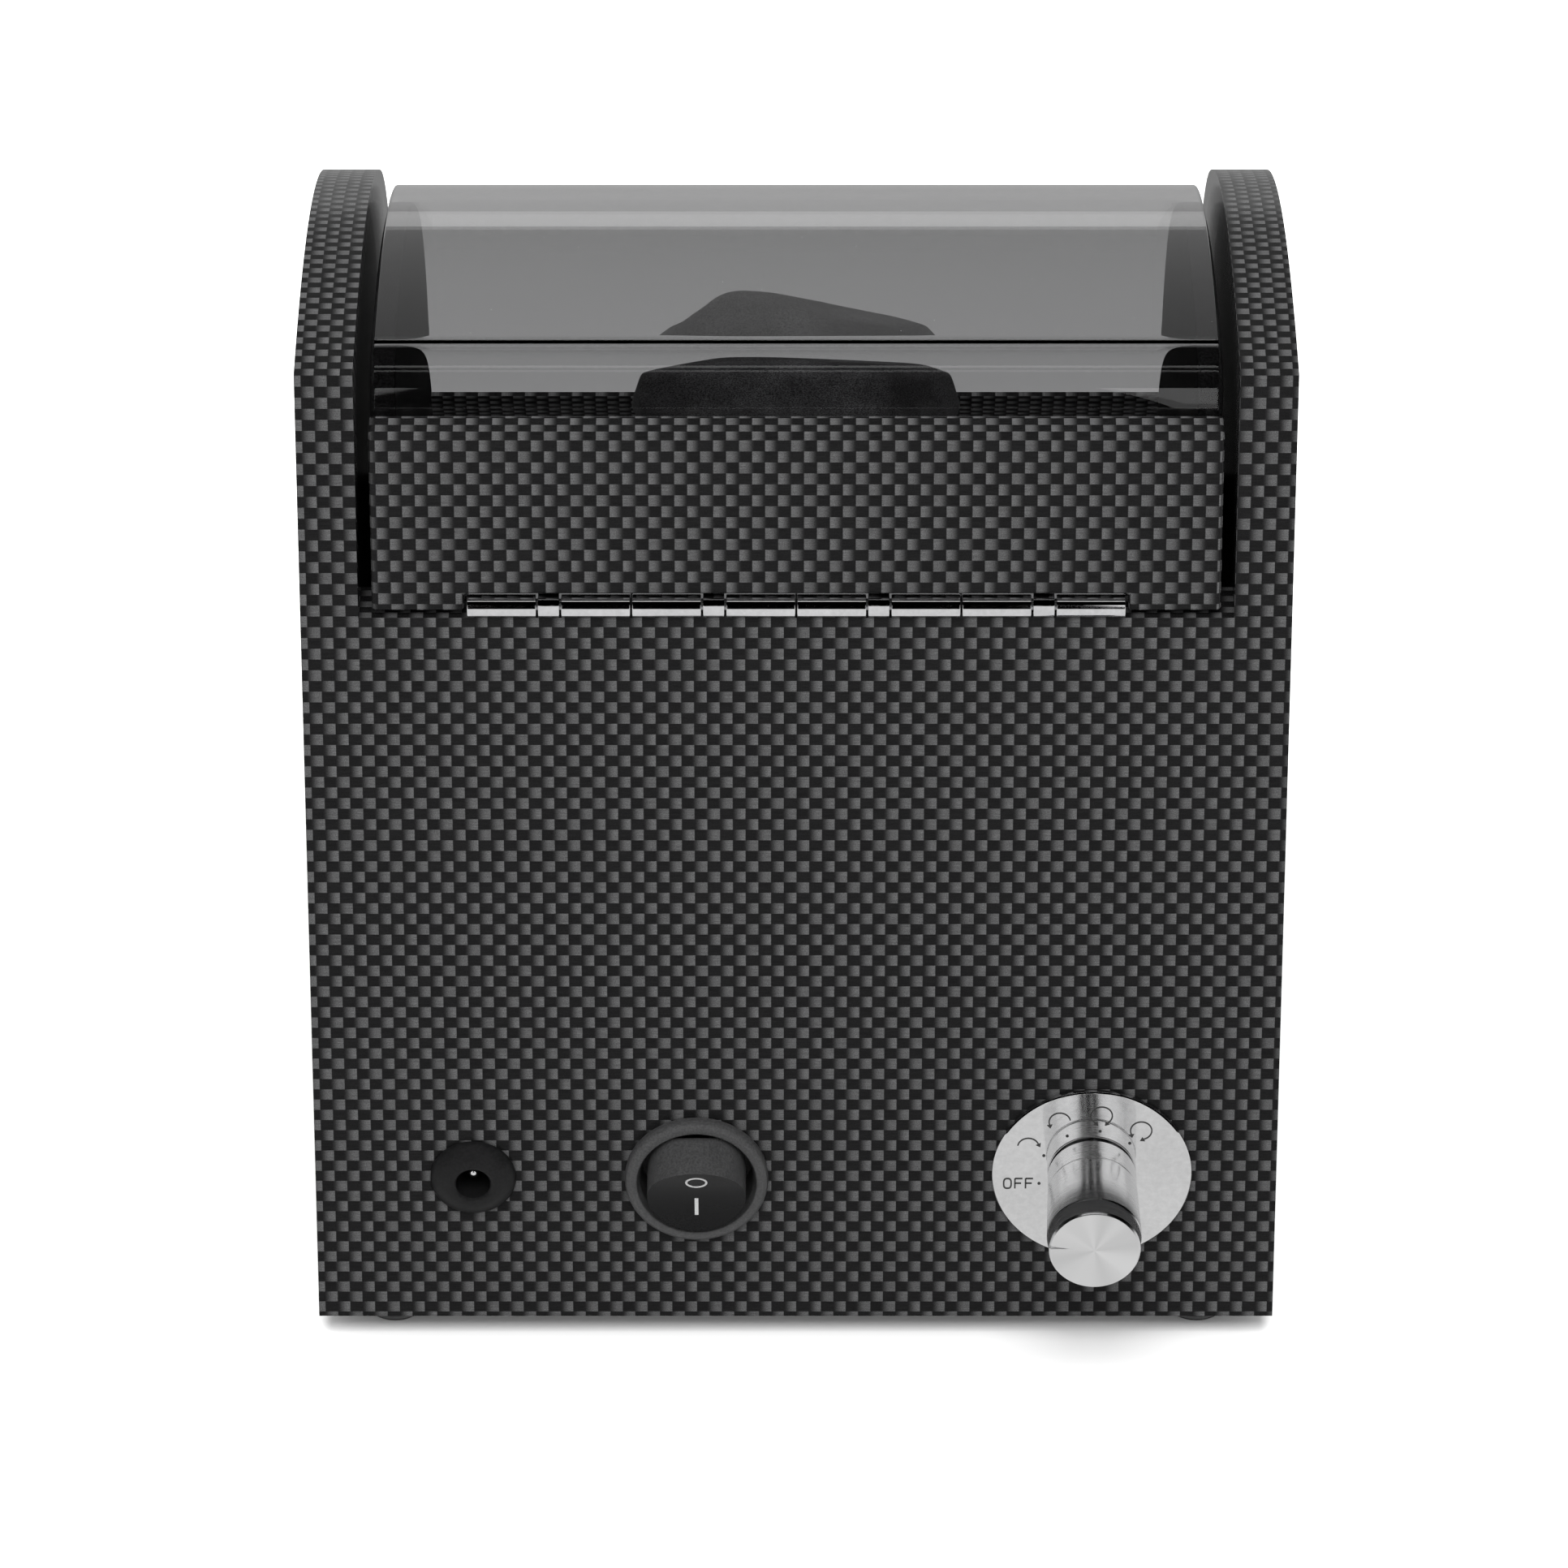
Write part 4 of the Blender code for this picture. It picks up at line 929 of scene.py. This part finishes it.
def rotation_mark(shape, angle, start, end, both_ends, low, high):
    """An arc with an arrowhead at its end or at both, at an angle round the selector plate."""
    ring = 0.0116
    centre = (ring * math.cos(math.radians(angle)), ring * math.sin(math.radians(angle)))
    path = arc(centre, 0.0017, start, end)
    stroke(shape, path, 0.00022, low, high)
    heads = [(path[0], path[3])] if both_ends else []
    for tip, back in heads + [(path[-1], path[-4])]:
        tip = Vector(tip)
        along = (tip - Vector(back)).normalized()
        aside = Vector((-along.y, along.x)) * 0.00045
        wedge(shape, [tuple(tip + along * 0.0007), tuple(tip + aside), tuple(tip - aside)], low, high)


def letter_strokes(shape, low, high):
    """The word OFF beside the selector's first position, just under 2 mm tall."""
    width = 0.00026
    height = 0.0019
    left = -0.0141
    bottom = -0.0026
    oval = []
    for step in range(28):
        angle = TURN * step / 28
        x = math.copysign(abs(math.cos(angle)) ** 0.7, math.cos(angle)) * 0.00060
        y = math.copysign(abs(math.sin(angle)) ** 0.7, math.sin(angle)) * height / 2
        oval.append((left + 0.0006 + x, bottom + height / 2 + y))
    stroke(shape, oval, width, low, high, closed=True)
    for x in (left + 0.0018, left + 0.0035):
        stroke(shape, [(x, bottom), (x, bottom + height)], width, low, high)
        stroke(shape, [(x, bottom + height), (x + 0.0012, bottom + height)], width, low, high)
        stroke(shape, [(x, bottom + height * 0.52), (x + 0.0010, bottom + height * 0.52)], width, low, high)


def build_selector():
    place = facing_rear(SELECTOR_X, SELECTOR_HEIGHT)
    profile = [
        (SELECTOR_HOLE, GAP),
        (PLATE_RADIUS, GAP),
        (PLATE_RADIUS, PLATE_TOP - 0.0002),
        (PLATE_RADIUS - 0.0002, PLATE_TOP),
        (SELECTOR_HOLE, PLATE_TOP),
    ]
    profile = fillet(profile, {2: 0.0001, 3: 0.0001}, 3)
    plate = turned("selector_disc", profile, PLATE, place, 128)
    finish_piece(plate, "cabinet", "polished_aluminium", "selector_plate")

    # Print on the plate, drawn as seen from behind the box: its own +X is the box's -X.
    marks = bmesh.new()
    low = PLATE_TOP - 0.00002
    high = PLATE_TOP + 0.00006
    rotation_mark(marks, 152, 170, 20, False, low, high)
    rotation_mark(marks, 117, 10, 200, False, low, high)
    rotation_mark(marks, 83, -55, 235, True, low, high)
    rotation_mark(marks, 48, -75, 205, True, low, high)
    for angle in (154, 118, 82, 46, 191):
        spot = Matrix.Rotation(math.radians(angle), 2) @ Vector((0.0086, 0))
        wedge(marks, arc(spot, 0.00026, 0, 345, 15), low, high)
    letter_strokes(marks, low, high)
    mirrored = place @ Matrix.Rotation(math.pi, 4, "Z")
    item = add_object("selector_print", marks, (BLACK_INK,), mirrored)
    finish_piece(item, "cabinet", "polished_aluminium")

    bore = 0.0033
    profile = [
        (bore, 0.0042),
        (0.0063, 0.0042),
        (0.0063, 0.0016),
        (0.0071, 0.0016),
        (0.0071, 0.0062),
        (0.0069, 0.0063),
        (0.0069, 0.0065),
        (0.0072, 0.0066),
        (0.00755, 0.0183),
        (0.0073, 0.0187),
        (0.0073, 0.0216),
        (0.0070, KNOB_REACH),
        (0, KNOB_REACH),
        (0, 0.0122),
        (bore, 0.0122),
    ]
    profile = fillet(profile, {3: 0.0002, 4: 0.00008, 7: 0.00008, 8: 0.0002, 10: 0.0001, 11: 0.00015}, 3)
    knob = turned("selector_cap", profile, ALUMINIUM, place, 128)
    knob.data.materials.append(SPUN)
    for face in knob.data.polygons:
        if face.center.z > KNOB_REACH - 0.00005:
            face.material_index = 1
    notch_low = KNOB_REACH - 0.0004
    corners = [(0.0042, 0, notch_low), (0.0090, -0.0004, notch_low), (0.0090, 0.0004, notch_low)]
    notch_place = place @ Matrix.Rotation(math.radians(-5), 4, "Z")
    notch = add_object("notch", prism(corners, Vector((0, 0, 0.002))), (ALUMINIUM,), notch_place)
    combine(knob, notch, "DIFFERENCE")
    screw_place = place @ Matrix.Translation((0, 0, 0.0095)) @ Matrix.Rotation(math.radians(-90), 4, "X")
    drill(knob, 0.0018, 0.001, 0.009, screw_place, 40)
    smooth(knob, 30)
    finish_piece(knob, "selector", "polished_aluminium", "selector_knob")


# ---- Turntable, pillow, loose pile and feet ----


def build_turntable():
    profile = [
        (0, -0.016),
        (0.0245, -0.016),
        (0.0245, 0.0024),
        (0.0252, 0.0036),
        (0.0320, 0.0032),
        (0.0330, 0.0024),
        (0.0330, 0.0012),
        (0.0266, 0.0012),
        (0.0266, -0.019),
        (0.0060, -0.019),
        (0.0060, -0.0208),
        (0.0033, -0.0208),
        (0.0033, -0.0175),
        (0, -0.0175),
    ]
    profile = fillet(profile, {1: 0.002, 2: 0.0008, 3: 0.0008, 4: 0.0008, 5: 0.0006, 6: 0.0004, 8: 0.001}, 4)
    cup = turned("cup", profile, GLOSS_PLASTIC, turntable_place(), 128)
    finish_piece(cup, "turntable", "gloss_plastic", "turntable_cup")


def pillow_ring(half_length, half_width, corner, height, shift=(0, 0), per_corner=6):
    """One level outline of the pillow: a rectangle with round corners, its middle moved by shift."""
    points = []
    for side_x, side_y, start in ((1, 1, 0), (-1, 1, 90), (-1, -1, 180), (1, -1, 270)):
        centre = (shift[0] + side_x * (half_length - corner), shift[1] + side_y * (half_width - corner))
        for x, y in arc(centre, corner, start, start + 90, per_corner):
            points.append((x, y, height))
    return points


def build_pillow():
    rings = (
        (0.0240, 0.0240, 0.0240, -0.0157),
        (0.0240, 0.0240, 0.0240, 0.0020),
        (0.0240, 0.0175, 0.0120, 0.0090),
        (0.0254, 0.0172, 0.0090, 0.0280),
        (0.0238, 0.0150, 0.0070, 0.0400),
        (0.0190, 0.0096, 0.0050, 0.0450, (-0.001, -0.0005)),
        (0.0040, 0.0024, 0.0020, 0.0498, (0.0070, 0.0040)),
    )
    shape = bmesh.new()
    layers = [[shape.verts.new(point) for point in pillow_ring(*ring)] for ring in rings]
    for below, above in zip(layers, layers[1:]):
        count = len(below)
        for index in range(count):
            after = (index + 1) % count
            shape.faces.new((below[index], below[after], above[after], above[index]))
    shape.faces.new(layers[0])
    shape.faces.new(layers[-1])
    place = turntable_place() @ Matrix.Rotation(PILLOW_TURN, 4, "Z")
    pillow = add_object("pillow", shape, (PILLOW_VELVET,), place)
    remesh = pillow.modifiers.new("even", "REMESH")
    remesh.mode = "VOXEL"
    remesh.voxel_size = 0.0020
    freeze(pillow)
    puff(pillow, 0.0012)
    finer = pillow.modifiers.new("finer", "SUBSURF")
    finer.levels = finer.render_levels = 1
    freeze(pillow)
    pillow.data.shade_smooth()
    finish_piece(pillow, "turntable", "pillow_velvet", "watch_pillow")


def puff(item, cap):
    """Inflates a soft form with cloth pressure, and holds each point to within cap of its start."""
    start = [vertex.co.copy() for vertex in item.data.vertices]
    cloth = item.modifiers.new("puff", "CLOTH")
    cloth.settings.quality = 6
    cloth.settings.mass = 0.2
    cloth.settings.tension_stiffness = 12
    cloth.settings.compression_stiffness = 12
    cloth.settings.shear_stiffness = 6
    cloth.settings.bending_stiffness = 0.6
    cloth.settings.use_pressure = True
    cloth.settings.uniform_pressure_force = 4
    cloth.settings.effector_weights.gravity = 0
    scene = bpy.context.scene
    for number in range(1, 21):
        scene.frame_set(number)
    freeze(item)
    scene.frame_set(1)
    for vertex, origin in zip(item.data.vertices, start):
        held = min(1.0, max(0.0, (origin.z - 0.002) / 0.008))
        move = (vertex.co - origin) * held
        if move.length > cap:
            move = move.normalized() * cap
        vertex.co = origin + move


def build_pile_edge():
    """Loose pile that stands up behind the window's flange, along the lid's rear board."""
    draw = random.Random(7)
    shape = bmesh.new()
    depth = WINDOW_SETBACK + WINDOW_THICKNESS + 0.0006
    x = -LID_HALF_WIDTH + CHEEK + 0.001
    while x < LID_HALF_WIDTH - CHEEK - 0.001:
        height = draw.uniform(0.0004, 0.0016)
        lean = draw.uniform(-0.0002, 0.0002)
        half = draw.uniform(0.00004, 0.00010)
        foot = to_world(x, depth + draw.uniform(0, 0.0008), WINDOW_FLANGE_BOTTOM - 0.0005)
        corners = [Vector((half * math.cos(turn), half * math.sin(turn), 0)) for turn in (0.5, 2.6, 4.7)]
        base = [shape.verts.new(foot + corner) for corner in corners]
        tip = shape.verts.new(foot + Vector((lean, 0, height + 0.0005)))
        shape.faces.new(base[::-1])
        for index in range(3):
            shape.faces.new((base[index - 1], base[index], tip))
        x += draw.uniform(0.0001, 0.0005)
    item = add_object("loose_pile", shape, (VELVET,))
    finish_piece(item, "lid", "velvet_board")


def build_feet():
    top = FOOT_HEIGHT - GAP
    outline = [(0, top), (0.0053, top), (0.0052, 0.0014), (0.0044, 0), (0, 0)]
    outline = fillet(outline, {1: 0.0003, 2: 0.0008, 3: 0.0005})
    for row, depth in (("rear", 0.010), ("front", DEPTH - 0.010)):
        for column, x in (("left", -0.065), ("right", 0.065)):
            place = Matrix.Translation((x, REAR_Y - depth, 0))
            foot = turned(f"{row}_{column}_foot", outline, RUBBER, place, 64)
            finish_piece(foot, "cabinet", "rubber", f"foot_{row}_{column}")


# ---- Carried-over CAD nodes ----

SLOT_MATERIALS = {
    "carbon_film": FILM,
    "base_film": BASE_FILM,
    "velvet_board": VELVET,
    "pillow_velvet": PILLOW_VELVET,
    "acrylic": ACRYLIC,
    "rubber": RUBBER,
    "black_plastic": MATT_PLASTIC,
    "gloss_plastic": GLOSS_PLASTIC,
    "chrome": CHROME,
    "polished_aluminium": ALUMINIUM,
    "steel": STEEL,
    "brass": BRASS,
    "nylon": NYLON,
    "circuit_board": BOARD_GREEN,
    "lead_insulation": INSULATION,
}


def dress_nodes():
    for part in frame["record"]["subparts"]:
        node = NODES[part["node"]]
        node.data.materials.clear()
        node.data.materials.append(SLOT_MATERIALS[part["material_slot"]])


# ---- Studio ----


def build_floor():
    """The white floor, and on it the cards that mirrors and clear sheets see in its place."""
    shape = bmesh.new()
    bmesh.ops.create_circle(shape, cap_ends=True, radius=4.0, segments=64)
    floor = add_object("studio_floor", shape, (floor_material("studio_floor", 0.86),))
    card_half = 3.0
    card_height = 0.0006
    for name, near, far, glow in (("card_behind", -4.0, -0.01, 0.44), ("card_in_front", -0.01, 4.0, 0.70)):
        corners = [(-card_half, near), (card_half, near), (card_half, far), (-card_half, far)]
        shape = bmesh.new()
        shape.faces.new([shape.verts.new((x, y, card_height)) for x, y in corners])
        card = add_object(name, shape, (card_material(name, glow),))
        card.visible_camera = False
        card.visible_diffuse = False
        card.visible_shadow = False


def add_area(name, spot, target, size, power, reflected):
    """A soft lamp at spot that shines on target, and may be seen in reflections."""
    data = bpy.data.lights.new(name, "AREA")
    data.shape = "RECTANGLE"
    data.size, data.size_y = size
    data.energy = power
    lamp = bpy.data.objects.new(name, data)
    bpy.context.collection.objects.link(lamp)
    lamp.location = spot
    lamp.rotation_euler = (Vector(target) - Vector(spot)).to_track_quat("-Z", "Y").to_euler()
    lamp.visible_glossy = reflected
    lamp.visible_transmission = reflected
    lamp.visible_camera = False


def build_studio():
    world = bpy.data.worlds.new("studio")
    world.use_nodes = True
    background = world.node_tree.nodes["Background"]
    background.inputs["Color"].default_value = (1, 1, 1, 1)
    background.inputs["Strength"].default_value = 0.8
    world.cycles_visibility.glossy = False
    world.cycles_visibility.transmission = False
    bpy.context.scene.world = world
    add_area("key_light", (0, 1.5, 1.9), (0, 0, 0.05), (1.3, 1.0), 60.0, False)
    add_area("back_light", (0, -1.4, 1.8), (0, -0.4, 0), (1.5, 1.0), 50.0, False)
    add_area("backdrop_light", (0, -1.1, 0.46), (0, 0, 0.3), (1.8, 0.92), 1.3, True)
    for x in (-0.62, 0.62):
        add_area("side_light", (x, 1.2, 0.45), (0, 0, 0.1), (0.6, 0.9), 1.6, True)
    for x in (-0.11, 0.13):
        add_area("stripe_light", (x, 1.2, 0.45), (0, 0, 0.1), (0.035, 0.9), 0.1, True)
    add_area("top_strip", (0, 0.45, 1.7), (0, 0.07, 0.17), (1.6, 0.12), 0.8, True)


def build_camera():
    data = bpy.data.cameras.new("camera")
    data.lens = CAMERA_LENS
    data.sensor_width = 36.0
    data.clip_start = 0.05
    data.clip_end = 30.0
    camera = bpy.data.objects.new("camera", data)
    bpy.context.collection.objects.link(camera)
    camera.location = CAMERA_SPOT
    camera.rotation_euler = (math.radians(90) - CAMERA_PITCH, 0, math.radians(180))
    bpy.context.scene.camera = camera
    bpy.context.scene.view_settings.view_transform = "Standard"


def main():
    build_camera()
    build_studio()
    build_floor()
    dress_nodes()
    build_cabinet()
    build_lid_rails()
    build_window()
    build_cheeks()
    build_hinges()
    build_feet()
    build_jack()
    build_switch()
    build_selector()
    build_turntable()
    build_pillow()
    build_pile_edge()


main()
